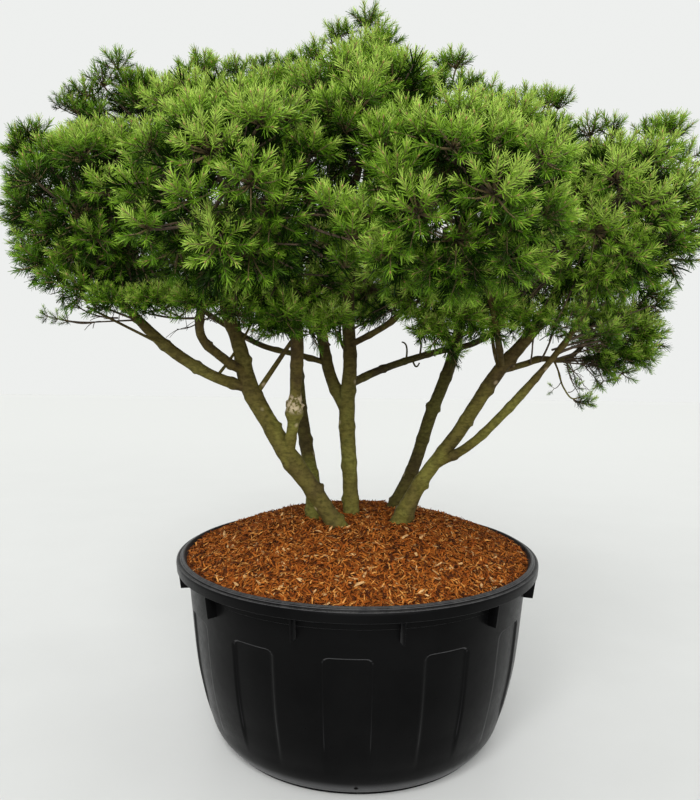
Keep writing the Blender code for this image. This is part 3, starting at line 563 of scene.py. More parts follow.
def limb_line(name):
    """Points and radii of a limb, run on a little way into its foliage."""
    _, mass, marks = LIMBS[name]
    points = [np.array(p[:3], float) for p in marks]
    radii = [p[3] for p in marks]
    centre = mass_centre(mass)
    away = points[-1] - centre
    way = unit(away)
    short = LIMB_END / np.linalg.norm(way / mass_size(mass)) + radii[-1]
    if np.linalg.norm(away) > short + 0.04:
        points.append(centre + way * short)
        radii.append(radii[-1] * 0.92)
    points.append(centre + (points[-1] - centre) * INSIDE + np.array((0, 0, 0.02)))
    radii.append(radii[-1] * 0.62)
    return np.array(points), np.array(radii)


def along(points, radii, step):
    """A smooth line through the points, at even steps."""
    spans = np.concatenate(((0,), np.cumsum(np.linalg.norm(np.diff(points, axis=0), axis=1))))
    at = np.linspace(0, spans[-1], max(int(spans[-1] / step), 3))
    return (np.column_stack([eased(spans, points[:, k], at) for k in range(3)]), eased(spans, radii, at), at)


def ranged(tree, value, from_low, from_high, to_low, to_high):
    """A value carried from one range over to another, and held at its ends."""
    node = tree.nodes.new("ShaderNodeMapRange")
    ends = {"From Min": from_low, "From Max": from_high, "To Min": to_low, "To Max": to_high}
    for socket, end in ends.items():
        node.inputs[socket].default_value = end
    tree.links.new(value, node.inputs["Value"])
    return node.outputs["Result"]


bark, tree, shader = new_finish("pine_bark", 0.8)
shader.inputs["Specular IOR Level"].default_value = 0.12
patches = stops(tree, grain(tree, 9.0, 4.0, (1, 1, 0.6)), (0.34, (0.066, 0.050, 0.014)),
                (0.50, (0.104, 0.090, 0.018)), (0.66, (0.140, 0.136, 0.027)))
scales = grain(tree, 80.0, 5.0, (0.7, 0.7, 1.25), 0.62)
skin = mixed(tree, 0.9, patches, stops(tree, scales, (0.34, 0.50), (0.60, 1.12)), "MULTIPLY")
cells = tree.nodes.new("ShaderNodeTexVoronoi")
cells.inputs["Scale"].default_value = 15.0
tree.links.new(own_place(tree), cells.inputs["Vector"])
healed = stops(tree, cells.outputs["Distance"], (0.06, 0.85), (0.15, 0.0))
skin = mixed(tree, healed, skin, HEALED_PALE)
from_gnarl = vector_math(tree, "DISTANCE", own_place(tree), GNARL)
knobbly = mixed(tree, 1.0, stops(tree, from_gnarl, (0.028, 0.90), (0.038, 0.0)),
                stops(tree, grain(tree, 85.0, 5.0), (0.42, 0.0), (0.54, 1.0)), "MULTIPLY")
skin = mixed(tree, knobbly, skin, GNARL_PALE)
# Painted shade darkens the bark up under the crown and towards the back, and the bark browns with height.
rising = axes_of(tree, own_place(tree))
skin = mixed(tree, 1.0, skin, ranged(tree, rising["Z"], 1.02, 1.38, 1.0, 0.42), "MULTIPLY")
skin = mixed(tree, 1.0, skin, ranged(tree, rising["Y"], -0.10, 0.16, 1.0, 0.50), "MULTIPLY")
weathered = ranged(tree, rising["Z"], 1.00, 1.25, 0.0, 0.65)
skin = mixed(tree, weathered, skin, mixed(tree, 1.0, skin, (0.92, 0.68, 0.95), "MULTIPLY"))
tree.links.new(skin, shader.inputs["Base Color"])
tree.links.new(stops(tree, scales, (0.3, 0.9), (0.7, 0.68)), shader.inputs["Roughness"])
rough_skin = bumped(tree, shader, scales, 0.004, 0.5)
bumped(tree, shader, grain(tree, 420.0, 3.0, (1, 1, 0.5)), 0.0012, 0.6, below=rough_skin)

for name, (parent, mass, _) in LIMBS.items():
    points, radii, at = along(*limb_line(name), 0.0065)
    radii = radii * BARK_FULLER
    thin_from, thin_to = THINNED.get(name, (1.0, 1.0))
    radii = radii * (1 - (1 - thin_to) * np.clip((at / at[-1] - thin_from) / 0.12, 0, 1))
    stout = float(radii.max()) > 0.018
    guide = bpy.data.curves.new(name + "_line", "CURVE")
    guide.dimensions = "3D"
    guide.bevel_depth = 1.0
    guide.bevel_resolution = 12 if stout else 6
    guide.use_fill_caps = True
    line = guide.splines.new("POLY")
    line.points.add(len(points) - 1)
    for spot, point, radius in zip(line.points, points, radii):
        spot.co = (*point, 1)
        spot.radius = radius
    drawn = bpy.data.objects.new(name + "_line", guide)
    bpy.context.scene.collection.objects.link(drawn)
    bpy.context.view_layer.update()
    mesh = bpy.data.meshes.new_from_object(drawn.evaluated_get(bpy.context.evaluated_depsgraph_get()))
    bpy.data.objects.remove(drawn)
    tool = bmesh.new()
    tool.from_mesh(mesh)
    bpy.data.meshes.remove(mesh)
    bmesh.ops.remove_doubles(tool, verts=tool.verts, dist=1e-5)
    bmesh.ops.recalc_face_normals(tool, faces=tool.faces)
    dealt = np.random.default_rng(sum(map(ord, name)))
    whorls = np.arange(dealt.uniform(0.05, 0.10), at[-1], WHORL_STEP) + dealt.normal(0, 0.012)
    stubs = []
    for spot in whorls:
        for k in range(int(dealt.integers(1, 4))):
            stubs.append((spot + dealt.normal(0, 0.006), dealt.uniform(0, 2 * math.pi),
                          dealt.uniform(0.10, 0.34), dealt.uniform(0.45, 0.85)))
    ways = unit(np.gradient(points, axis=0))
    for vert in tool.verts:
        spot = np.array(vert.co)
        k = int(np.argmin(((points - spot) ** 2).sum(1)))
        out = spot - points[k]
        reach = float(np.linalg.norm(out))
        if reach < radii[k] * 0.5:
            continue
        radius, place = float(radii[k]), float(at[k])
        angle = math.atan2(out[1], out[0]) if abs(ways[k][2]) > 0.5 else math.atan2(out[2], out[0] + out[1])
        swell = sum(tall * noise.noise(vert.co * close) for tall, close in RIPPLES)
        swell += WHORL_SWELL * float(np.exp(-((place - whorls) / WHORL_LONG) ** 2).sum())
        for stub, turn, tall, wide in stubs:
            off = abs((angle - turn + math.pi) % (2 * math.pi) - math.pi) * radius
            swell += tall * math.exp(-(((place - stub) / (wide * STUB_LONG)) ** 2
                                       + (off / (wide * STUB_WIDE)) ** 2))
        if parent is None:
            swell += FLARE_SWELL * max(0.0, 1 - place / FLARE_LONG) * math.cos(3 * angle + 1.3)
        else:
            swell += COLLAR_SWELL * max(0.0, 1 - place / COLLAR_LONG) ** 2
        if name == "limb_upright":
            lumpy = math.exp(-((place - GNARL_AT) / GNARL_LONG) ** 2)
            swell += lumpy * (0.24 + 0.40 * noise.noise(vert.co * 80) + 0.26 * noise.noise(vert.co * 190))
        vert.co += Vector(out / reach) * (radius * swell)
    limb = placed(tool, name + "_bark", bark, 70)
    fitted(limb, "stem_bark", name)


# ---------------------------------------------------------------------------------------------------------
# The boughs and twigs in the crown. Inside each mass of foliage the limb forks into boughs, these into twigs
# and these into whorls, from which the year's shoots stand up in rounded heads. Brown, thin, mostly hidden.
HEART = np.array((0.0, 0.0, 1.50))
SKY_RAYS, SKY_LOWEST, MASS_SHADE = 110, -0.35, 0.86
HEAD_STEP = 0.152
HEAD_ROUND = (0.058, 0.088)
HEAD_BACK = 0.040
HEAD_UPRIGHT, SHOOT_UPTURN = 0.45, 0.42
TOP_CHANCE = 0.60
BOUGHS, TWIG_DEEP, BOUGH_DEEP = 7, 0.42, 0.22
BOUGH_RADIUS, TWIG_RADIUS, TWIG_TIP = 0.0062, 0.0046, 0.0030
SHOOTS, FULL_HEAD = 19, 0.079
SHOOT_LONG = (0.034, 0.050)
LEAFY = {"foliage_outer_left": 1.6, "foliage_outer_left_front": 1.3, "foliage_middle_left": 1.4,
         "foliage_low_right": 0.8, "foliage_low_front_left": 1.5, "foliage_low_front_right": 1.5}
OLD_SPRAYS, OLD_MORE = 92, {"foliage_outer_left": 1.6}
OLD_DEEP = (0.40, 0.62)
OLD_LONG = (0.055, 0.080)
OLD_HIGHEST = 1.90
TUFT_ROUND, TUFT_FOOT = 0.060, 0.45
SIDE_TWIGS = (0.30, 0.42, 0.55, 0.68, 0.80)
# Balls of (x, y, z, radius): gaps of fewer, deeper heads in painted shade, the clear air over the stems, and
# heads in painted full light.
GAPS = (
    (-0.02, -0.84, 1.60, 0.055), (-0.44, -0.87, 1.60, 0.080), (-0.12, -0.80, 1.48, 0.060),
    (-0.10, -0.68, 1.40, 0.060), (0.12, -0.86, 1.40, 0.060), (-0.32, -0.78, 1.38, 0.050),
    (0.18, -0.60, 1.83, 0.055), (0.23, -0.92, 1.64, 0.050), (0.33, -0.91, 1.50, 0.050),
    (0.60, -0.57, 1.71, 0.070), (-0.74, -0.17, 1.92, 0.060), (-0.76, -0.55, 1.57, 0.065),
    (-0.11, -0.61, 1.86, 0.045), (-0.29, -0.90, 1.53, 0.045), (0.14, -0.94, 1.51, 0.045),
    (0.45, 0.72, 1.66, 0.070), (-0.25, 0.86, 1.62, 0.080), (0.80, 0.20, 1.60, 0.070),
    (-0.82, 0.22, 1.62, 0.070), (-0.62, 0.60, 1.58, 0.070), (0.10, 0.60, 1.92, 0.060),
    (-0.30, 0.10, 2.02, 0.060),
)
OPEN = (
    (0.097, -0.300, 1.290, 0.075), (0.130, 0.000, 1.300, 0.080), (0.140, 0.350, 1.310, 0.085),
    (0.150, 0.650, 1.320, 0.090), (0.145, -0.300, 1.325, 0.060), (0.190, 0.250, 1.345, 0.070),
)
SUNNY = (
    (-0.34, -0.90, 1.57, 0.060), (0.27, -0.93, 1.60, 0.060), (-0.46, -0.83, 1.50, 0.060),
    (-0.04, -0.66, 1.77, 0.075), (0.23, -0.94, 1.49, 0.050), (-0.25, -0.86, 1.69, 0.060),
    (0.54, -0.61, 1.61, 0.085), (-0.55, -0.30, 1.92, 0.085), (0.05, -0.91, 1.52, 0.045),
    (-0.19, -0.87, 1.64, 0.055), (-0.22, -0.84, 1.43, 0.050), (0.13, -0.91, 1.67, 0.045),
    (0.57, -0.62, 1.53, 0.060), (0.36, -0.88, 1.60, 0.050),
)
# A tuft that stands out: its mass, where its twig starts if not inside the mass, and for each tuft its place,
# the way that it points, how many shoots it has, and its size.
TUFTS = (
    ("foliage_top_peak", None, (
        ((0.009, 0.000, 2.208), (0.0, 0.0, 1.0), 8, 1.0), ((0.042, 0.000, 2.182), (0.1, 0.0, 1.0), 7, 0.9),
        ((0.065, 0.000, 2.150), (0.3, 0.0, 1.0), 6, 1.0))),
    ("foliage_middle_left", None, (
        ((-0.740, -0.050, 2.051), (-0.1, 0.0, 1.0), 8, 1.0),
        ((-0.875, 0.000, 1.941), (-0.1, 0.0, 1.0), 8, 0.9))),
    ("foliage_outer_left", None, (
        ((-0.960, -0.100, 1.800), (-0.5, 0.0, 1.0), 7, 1.0),)),
    ("foliage_middle_front_left", None, (
        ((-0.490, -0.050, 2.046), (-0.1, 0.0, 1.0), 8, 1.0),)),
    ("foliage_middle_back", (0.250, 0.250, 1.900), (
        ((0.300, 0.110, 2.122), (0.0, -0.1, 1.0), 9, 1.0), ((0.255, 0.130, 2.060), (-0.3, -0.1, 1.0), 8, 1.0),
        ((0.345, 0.100, 2.045), (0.5, -0.1, 1.0), 8, 1.0))),
    ("foliage_middle_right", None, (
        ((0.425, 0.200, 2.070), (0.0, 0.0, 1.0), 4, 1.0), ((0.605, 0.120, 2.005), (0.1, 0.0, 1.0), 7, 1.0))),
    ("foliage_outer_right", None, (
        ((0.915, -0.080, 1.875), (0.2, 0.0, 1.0), 8, 1.0), ((0.835, -0.120, 1.850), (0.1, 0.0, 1.0), 7, 1.0),
        ((0.740, -0.100, 1.860), (0.0, 0.0, 1.0), 7, 1.0))),
    ("foliage_outer_left_front", None, (
        ((-0.840, -0.390, 1.440), (-0.8, -0.3, 0.2), 12, 1.1),
        ((-0.790, -0.390, 1.395), (-0.6, -0.3, 0.1), 12, 1.1),
        ((-0.735, -0.380, 1.370), (-0.4, -0.4, 0.0), 12, 1.1),
        ((-0.690, -0.330, 1.345), (-0.3, -0.4, 0.1), 12, 1.1))),
    ("foliage_low_front_left", None, (
        ((-0.200, -0.440, 1.300), (0.1, -0.4, 0.2), 14, 1.1),
        ((-0.100, -0.300, 1.315), (0.3, -0.4, 0.0), 12, 1.0))),
    ("foliage_low_front_right", None, (
        ((0.260, -0.380, 1.310), (0.1, -0.4, 0.2), 14, 1.1),
        ((0.350, -0.380, 1.335), (0.2, -0.4, 0.2), 12, 1.1))),
    ("foliage_low_right", (0.700, -0.070, 1.235), (
        ((0.850, -0.080, 1.215), (0.7, -0.2, 0.5), 14, 1.1),
        ((0.875, -0.060, 1.262), (0.8, -0.2, 0.6), 14, 1.1))),
    ("foliage_low_right", (0.690, -0.060, 1.200), (
        ((0.795, -0.100, 1.205), (0.6, -0.3, 0.6), 12, 0.9),
        ((0.735, -0.060, 1.205), (0.4, -0.3, 0.7), 7, 0.8))),
    ("foliage_low_right", None, (
        ((0.860, -0.050, 1.325), (0.8, -0.2, 0.5), 13, 1.1),
        ((0.870, -0.100, 1.395), (0.8, -0.2, 0.5), 14, 1.1),
        ((0.750, -0.120, 1.325), (0.1, -0.4, 0.5), 12, 1.0),
        ((0.680, -0.100, 1.315), (0.0, -0.4, 0.6), 11, 1.0))),
    ("foliage_low_front_left", None, (
        ((-0.270, -0.340, 1.285), (0.2, -0.5, 0.2), 12, 1.0),
        ((-0.213, -0.340, 1.270), (-0.2, -0.5, 0.2), 12, 1.0),
        ((-0.167, -0.340, 1.302), (0.2, -0.5, 0.2), 12, 1.0),
        ((-0.134, -0.340, 1.265), (0.2, -0.5, 0.2), 12, 1.0),
        ((-0.075, -0.340, 1.293), (0.2, -0.5, 0.2), 12, 1.0))),
    ("foliage_low_front_right", None, (
        ((0.165, -0.330, 1.280), (0.2, -0.5, 0.2), 12, 1.0),
        ((0.217, -0.330, 1.269), (-0.2, -0.5, 0.2), 12, 1.0),
        ((0.296, -0.330, 1.292), (0.2, -0.5, 0.2), 12, 1.0),
        ((0.356, -0.330, 1.287), (0.2, -0.5, 0.2), 12, 1.0))),
    ("foliage_outer_right_front", None, (
        ((0.416, -0.300, 1.316), (0.2, -0.5, 0.2), 12, 1.0),
        ((0.464, -0.300, 1.292), (-0.2, -0.5, 0.2), 12, 1.0),
        ((0.513, -0.300, 1.304), (-0.2, -0.5, 0.2), 12, 1.0),
        ((0.554, -0.300, 1.321), (0.2, -0.5, 0.2), 12, 1.0),
        ((0.580, -0.300, 1.384), (0.2, -0.5, 0.2), 12, 1.0))),
    ("foliage_outer_left_front", None, (
        ((-0.573, -0.360, 1.334), (0.2, -0.5, 0.2), 12, 1.0),
        ((-0.509, -0.360, 1.335), (0.2, -0.5, 0.2), 12, 1.0))),
    ("foliage_outer_front_left", None, (
        ((-0.435, -0.420, 1.338), (-0.2, -0.5, 0.2), 12, 1.0),
        ((-0.391, -0.420, 1.333), (0.2, -0.5, 0.2), 12, 1.0),
        ((-0.328, -0.420, 1.308), (0.2, -0.5, 0.2), 12, 1.0))),
    ("foliage_middle_left", None, (
        ((-0.872, -0.040, 1.924), (-0.2, 0.0, 1.0), 9, 0.9),
        ((-0.837, -0.040, 1.970), (-0.3, 0.0, 1.0), 9, 1.0),
        ((-0.787, -0.040, 2.006), (-0.1, 0.0, 1.0), 9, 1.0), ((-0.715, -0.040, 1.995), (0.1, 0.0, 1.0), 9, 1.0),
        ((-0.660, -0.040, 1.995), (0.1, 0.0, 1.0), 9, 1.0))),
    ("foliage_outer_left", None, (
        ((-0.995, -0.120, 1.772), (-0.7, 0.0, 1.0), 9, 1.0),
        ((-0.958, -0.120, 1.824), (-0.2, 0.0, 1.0), 9, 1.0),
        ((-0.997, -0.120, 1.807), (-0.2, 0.0, 1.0), 8, 1.0),
        ((-0.997, -0.120, 1.694), (-1.0, 0.0, 1.0), 9, 1.0),
        ((-1.005, -0.120, 1.577), (-1.0, 0.0, 1.0), 9, 1.0))),
    ("foliage_middle_front_left", None, (
        ((-0.536, -0.050, 2.017), (0, 0.0, 1.0), 8, 1.0), ((-0.481, -0.050, 2.041), (0.1, 0.0, 1.0), 8, 1.0),
        ((-0.427, -0.050, 2.024), (0, 0.0, 1.0), 8, 1.0))),
    ("foliage_top_left", None, (
        ((-0.386, 0.000, 2.047), (-0.1, 0.0, 1.0), 8, 1.0), ((-0.312, 0.000, 2.054), (0, 0.0, 1.0), 8, 1.0),
        ((-0.244, 0.000, 2.067), (0.1, 0.0, 1.0), 8, 1.0), ((-0.182, 0.000, 2.073), (-0.1, 0.0, 1.0), 8, 1.0))),
    ("foliage_top_peak", None, (
        ((-0.139, 0.000, 2.104), (-0.4, 0.0, 1.0), 8, 1.0), ((-0.078, 0.000, 2.166), (-0.1, 0.0, 1.0), 8, 0.9),
        ((0.075, 0.000, 2.050), (0.2, 0.0, 1.0), 8, 0.9), ((0.057, 0.000, 2.132), (0.2, 0.0, 1.0), 7, 1.0))),
    ("foliage_middle_right", None, (
        ((0.447, 0.150, 2.024), (0, 0.0, 1.0), 8, 1.0),)),
    ("foliage_middle_back", None, (
        ((0.272, 0.150, 2.128), (0, 0.0, 1.0), 10, 1.0), ((0.239, 0.120, 2.072), (0, 0.0, 1.0), 10, 1.0),
        ((0.314, 0.100, 2.047), (0, 0.0, 1.0), 10, 1.0))),
    ("foliage_middle_right", None, (
        ((0.533, 0.150, 2.025), (0.1, 0.0, 1.0), 8, 1.0), ((0.602, 0.150, 2.025), (0.2, 0.0, 1.0), 8, 1.0),
        ((0.645, 0.150, 2.013), (0.3, 0.0, 1.0), 8, 1.0))),
    ("foliage_outer_right", None, (
        ((0.676, -0.100, 1.860), (0, 0.0, 1.0), 8, 1.0), ((0.890, -0.100, 1.862), (0, 0.0, 1.0), 8, 1.0),
        ((0.932, -0.100, 1.857), (0.3, 0.0, 1.0), 8, 1.0), ((0.959, -0.100, 1.793), (0.5, 0.0, 1.0), 8, 1.0))),
    ("foliage_outer_front_left", None, (
        ((-0.075, -0.800, 1.504), (0.5, 0.0, 1.0), 14, 1.0),
        ((-0.028, -0.800, 1.454), (0.4, 0.0, 1.0), 14, 1.0),
        ((-0.095, -0.700, 1.449), (0.3, 0.0, 1.0), 12, 1.0),
        ((-0.043, -0.700, 1.405), (0.4, 0.0, 1.0), 12, 1.0))),
    ("foliage_outer_front_right", None, (
        ((0.000, -0.800, 1.491), (-0.4, 0.0, 1.0), 14, 1.0), ((0.066, -0.800, 1.537), (0, 0.0, 1.0), 14, 1.0),
        ((0.031, -0.800, 1.409), (-0.2, 0.0, 1.0), 14, 1.0))),
    ("foliage_middle_front", None, (
        ((-0.046, -0.700, 1.700), (0.3, 0.0, 1.0), 14, 1.0), ((0.026, -0.700, 1.680), (0, 0.0, 1.0), 14, 1.0),
        ((-0.014, -0.700, 1.748), (0, 0.0, 1.0), 14, 1.0), ((-0.080, -0.700, 1.730), (0, 0.0, 1.0), 14, 1.0))),
    ("foliage_outer_left", None, (
        ((-0.988, -0.150, 1.787), (-1.0, 0.0, 0.4), 9, 0.95),
        ((-0.988, -0.150, 1.716), (-1.0, 0.0, 0.2), 9, 0.95),
        ((-0.988, -0.150, 1.644), (-1.0, 0.0, 0.1), 9, 0.95),
        ((-0.988, -0.150, 1.572), (-1.0, 0.0, 0.0), 9, 0.95),
        ((-0.955, -0.200, 1.505), (-1.0, 0.0, -0.1), 9, 0.95))),
    ("foliage_outer_left_front", None, (
        ((-0.893, -0.250, 1.445), (-0.8, 0.0, -0.3), 9, 0.9),
        ((-0.682, -0.420, 1.348), (-0.3, -0.5, 0.1), 9, 0.7),
        ((-0.651, -0.420, 1.340), (0.1, -0.5, -0.1), 9, 0.7),
        ((-0.620, -0.420, 1.335), (0.3, -0.4, 0.2), 9, 0.7),
        ((-0.589, -0.420, 1.333), (-0.3, -0.5, 0.1), 9, 0.7),
        ((-0.563, -0.420, 1.344), (0.1, -0.5, -0.1), 9, 0.7),
        ((-0.534, -0.420, 1.347), (0.3, -0.4, 0.2), 9, 0.7))),
    ("foliage_outer_front_left", None, (
        ((-0.445, -0.460, 1.338), (-0.3, -0.5, 0.1), 9, 0.7),
        ((-0.409, -0.460, 1.341), (0.1, -0.5, -0.1), 9, 0.7),
        ((-0.381, -0.460, 1.349), (0.3, -0.4, 0.2), 9, 0.7))),
    ("foliage_outer_left_front", (-0.748, -0.260, 1.289), (
        ((-0.873, -0.285, 1.303), (-1.0, -0.1, 0.1), 5, 0.45),
        ((-0.845, -0.285, 1.295), (-1.0, -0.1, 0.1), 5, 0.45),
        ((-0.817, -0.285, 1.290), (-1.0, -0.1, 0.1), 5, 0.45))),
    ("foliage_low_front_left", None, (
        ((-0.289, -0.360, 1.292), (-0.3, -0.5, 0.1), 8, 0.7),
        ((-0.259, -0.360, 1.276), (0.1, -0.5, -0.1), 8, 0.7),
        ((-0.235, -0.360, 1.292), (0.3, -0.4, 0.2), 8, 0.7),
        ((-0.119, -0.320, 1.322), (-0.3, -0.5, 0.1), 8, 0.65),
        ((-0.086, -0.320, 1.306), (0.1, -0.5, -0.1), 8, 0.65),
        ((-0.108, -0.320, 1.278), (0.3, -0.4, 0.2), 8, 0.65))),
    ("foliage_low_front_right", None, (
        ((0.004, -0.160, 1.318), (-0.3, -0.5, 0.1), 6, 0.6),
        ((0.036, -0.160, 1.333), (0.1, -0.5, -0.1), 6, 0.6),
        ((0.180, -0.300, 1.271), (0.1, -0.5, -0.1), 7, 0.65),
        ((0.213, -0.300, 1.266), (0.3, -0.4, 0.2), 7, 0.65),
        ((0.241, -0.300, 1.238), (-0.3, -0.5, 0.1), 7, 0.65),
        ((0.256, -0.300, 1.211), (0.1, -0.5, -0.1), 7, 0.65))),
    ("foliage_outer_right_front", None, (
        ((0.302, -0.300, 1.272), (-0.3, -0.5, 0.1), 7, 0.65),
        ((0.335, -0.300, 1.278), (0.1, -0.5, -0.1), 7, 0.65),
        ((0.368, -0.300, 1.276), (0.3, -0.4, 0.2), 7, 0.65),
        ((0.506, -0.420, 1.299), (-0.3, -0.5, 0.1), 5, 0.6),
        ((0.533, -0.420, 1.284), (0.1, -0.5, -0.1), 5, 0.6), ((0.558, -0.420, 1.315), (0.3, -0.4, 0.2), 5, 0.6),
        ((0.588, -0.420, 1.347), (-0.3, -0.5, 0.1), 5, 0.6),
        ((0.613, -0.420, 1.378), (0.1, -0.5, -0.1), 5, 0.6),
        ((0.564, -0.420, 1.279), (0.3, -0.4, 0.2), 5, 0.6))),
    ("foliage_drooping_tuft", (0.655, -0.092, 1.075), (
        ((0.672, -0.094, 1.066), (1.0, 0.0, 0.10), 6, 0.55),
        ((0.700, -0.094, 1.063), (1.0, 0.0, 0.15), 7, 0.55))),
    ("foliage_drooping_tuft", (0.640, -0.090, 1.095), (
        ((0.668, -0.080, 1.112), (0.7, -0.3, 0.1), 4, 0.40),)),
    ("foliage_drooping_tuft", (0.622, -0.080, 1.130), (
        ((0.600, -0.080, 1.105), (-0.6, -0.3, -0.2), 2, 0.40),)),
    ("foliage_low_right", None, (
        ((0.859, -0.080, 1.196), (1.0, -0.2, 0.0), 10, 0.7),
        ((0.847, -0.080, 1.208), (0.1, -0.5, -0.1), 10, 0.7),
        ((0.892, -0.100, 1.360), (1.0, -0.2, 0.0), 9, 0.7))),
    ("foliage_low_front_right", None, (
        ((0.011, -0.130, 1.292), (-0.3, -0.5, 0.1), 6, 0.45),
        ((0.052, -0.130, 1.313), (0.1, -0.5, -0.1), 6, 0.45),
        ((0.097, -0.130, 1.326), (0.3, -0.4, 0.2), 6, 0.45),
        ((0.169, -0.300, 1.260), (-0.3, -0.5, 0.1), 8, 0.6))),
    ("foliage_outer_right_front", None, (
        ((0.308, -0.260, 1.264), (-0.3, -0.5, 0.1), 7, 0.55),
        ((0.426, -0.260, 1.277), (0.1, -0.5, -0.1), 7, 0.55),
        ((0.539, -0.260, 1.270), (0.3, -0.4, 0.2), 7, 0.55))),
    ("foliage_top_left", None, (
        ((-0.392, 0.000, 2.073), (0.0, 0.0, 1.0), 6, 0.6), ((-0.349, 0.000, 2.076), (0.3, -0.1, 1.0), 6, 0.6),
        ((-0.306, 0.000, 2.080), (-0.3, -0.1, 1.0), 6, 0.6),
        ((-0.263, 0.000, 2.074), (0.0, 0.0, 1.0), 6, 0.6))),
    ("foliage_top_peak", None, (
        ((-0.073, 0.000, 2.178), (0.0, 0.0, 1.0), 6, 0.6), ((-0.048, 0.000, 2.184), (0.3, -0.1, 1.0), 6, 0.6),
        ((-0.097, 0.000, 2.154), (-0.3, -0.1, 1.0), 6, 0.6), ((0.007, 0.000, 2.214), (0.0, 0.0, 1.0), 6, 0.6),
        ((-0.195, 0.000, 2.090), (0.3, -0.1, 1.0), 6, 0.6),
        ((-0.149, 0.000, 2.117), (-0.3, -0.1, 1.0), 6, 0.6))),
    ("foliage_middle_left", None, (
        ((-0.913, -0.030, 1.968), (0.0, 0.0, 1.0), 6, 0.6), ((-0.888, -0.030, 1.980), (0.3, -0.1, 1.0), 6, 0.6),
        ((-0.925, -0.030, 1.944), (-0.3, -0.1, 1.0), 6, 0.6))),
    ("foliage_outer_left", None, (
        ((-0.992, -0.170, 1.549), (-1.0, 0.0, 0.0), 7, 0.6),
        ((-0.981, -0.170, 1.491), (-1.0, 0.0, 0.0), 7, 0.6),
        ((-0.995, -0.170, 1.782), (-1.0, 0.0, 0.0), 7, 0.6))),
)
# Twigs without needles below the crown, the dark forked ones at its foot, and the thin ones at its airy
# lower right, each as a foot, a bend, an end and a radius.
BARE_TWIGS = (
    ((-0.305, -0.142, 1.090), (-0.253, -0.150, 1.167), (-0.200, -0.210, 1.240), 0.0088),
    ((0.415, -0.162, 1.165), (0.388, -0.170, 1.216), (0.382, -0.190, 1.300), 0.0062),
    ((-0.033, 0.020, 1.200), (-0.078, 0.080, 1.240), (-0.060, 0.120, 1.320), 0.0060),
    ((-0.560, -0.172, 1.215), (-0.640, -0.230, 1.262), (-0.760, -0.300, 1.330), 0.0046),
    ((-0.430, -0.152, 1.130), (-0.370, -0.120, 1.205), (-0.330, -0.080, 1.300), 0.0050),
    ((0.165, 0.243, 1.176), (0.175, 0.220, 1.240), (0.148, 0.200, 1.242), 0.0036),
    ((0.215, 0.277, 1.188), (0.228, 0.250, 1.260), (0.198, 0.220, 1.262), 0.0036),
    ((0.190, 0.262, 1.182), (0.202, 0.260, 1.138), (0.214, 0.255, 1.170), 0.0036),
)
DARK_TWIGS = (
    ((-0.652, -0.190, 1.297), (-0.720, -0.240, 1.292), (-0.789, -0.270, 1.285), 0.0034),
    ((-0.652, -0.190, 1.297), (-0.741, -0.260, 1.334), (-0.827, -0.300, 1.380), 0.004),
    ((-0.698, -0.220, 1.302), (-0.759, -0.260, 1.297), (-0.800, -0.300, 1.342), 0.003),
    ((-0.743, -0.240, 1.323), (-0.780, -0.260, 1.356), (-0.784, -0.280, 1.388), 0.003),
    ((-0.491, -0.120, 1.307), (-0.580, -0.140, 1.300), (-0.637, -0.200, 1.323), 0.0044),
    ((-0.540, -0.130, 1.309), (-0.592, -0.160, 1.334), (-0.611, -0.200, 1.367), 0.0034),
    ((-0.494, -0.120, 1.289), (-0.520, -0.140, 1.271), (-0.545, -0.150, 1.273), 0.0022),
    ((-0.491, -0.120, 1.295), (-0.441, -0.150, 1.307), (-0.402, -0.200, 1.329), 0.003),
    ((-0.182, -0.230, 1.228), (-0.157, -0.220, 1.274), (-0.173, -0.250, 1.344), 0.004),
    ((-0.094, 0.000, 1.230), (-0.149, -0.060, 1.282), (-0.168, -0.100, 1.348), 0.0034),
    ((-0.025, 0.020, 1.279), (0.018, -0.060, 1.303), (0.082, -0.120, 1.356), 0.0034),
    ((0.273, 0.300, 1.194), (0.264, 0.200, 1.268), (0.231, 0.100, 1.349), 0.0032),
    ((0.573, -0.100, 1.187), (0.663, -0.120, 1.225), (0.759, -0.120, 1.238), 0.0034),
    ((0.541, -0.260, 1.225), (0.666, -0.200, 1.260), (0.841, -0.120, 1.293), 0.0034),
    ((0.557, -0.280, 1.264), (0.687, -0.220, 1.295), (0.860, -0.140, 1.358), 0.0036),
    ((0.546, -0.110, 1.187), (0.589, -0.120, 1.269), (0.575, -0.200, 1.369), 0.0034),
    ((0.516, -0.110, 1.180), (0.529, -0.120, 1.253), (0.484, -0.200, 1.333), 0.003),
    ((0.624, -0.070, 1.187), (0.738, -0.080, 1.170), (0.823, -0.080, 1.202), 0.003),
    ((0.639, -0.060, 1.199), (0.644, -0.070, 1.138), (0.673, -0.080, 1.095), 0.0024),
    ((0.633, -0.060, 1.180), (0.681, -0.070, 1.150), (0.691, -0.080, 1.114), 0.002),
    ((0.577, -0.320, 1.313), (0.688, -0.260, 1.367), (0.834, -0.200, 1.412), 0.0036),
)
AIRY_TWIGS = (
    ((0.636, -0.050, 1.195), (0.720, -0.075, 1.180), (0.795, -0.100, 1.205), 0.0036),
    ((0.622, -0.053, 1.195), (0.740, -0.080, 1.200), (0.850, -0.080, 1.215), 0.0042),
    ((0.538, -0.290, 1.210), (0.660, -0.200, 1.262), (0.870, -0.070, 1.262), 0.0046),
    ((0.560, -0.301, 1.245), (0.700, -0.200, 1.300), (0.860, -0.060, 1.325), 0.0044),
    ((0.600, -0.060, 1.195), (0.655, -0.060, 1.178), (0.735, -0.060, 1.205), 0.0032),
)


def golden_turns(numbers):
    return numbers * math.pi * (3 - math.sqrt(5))


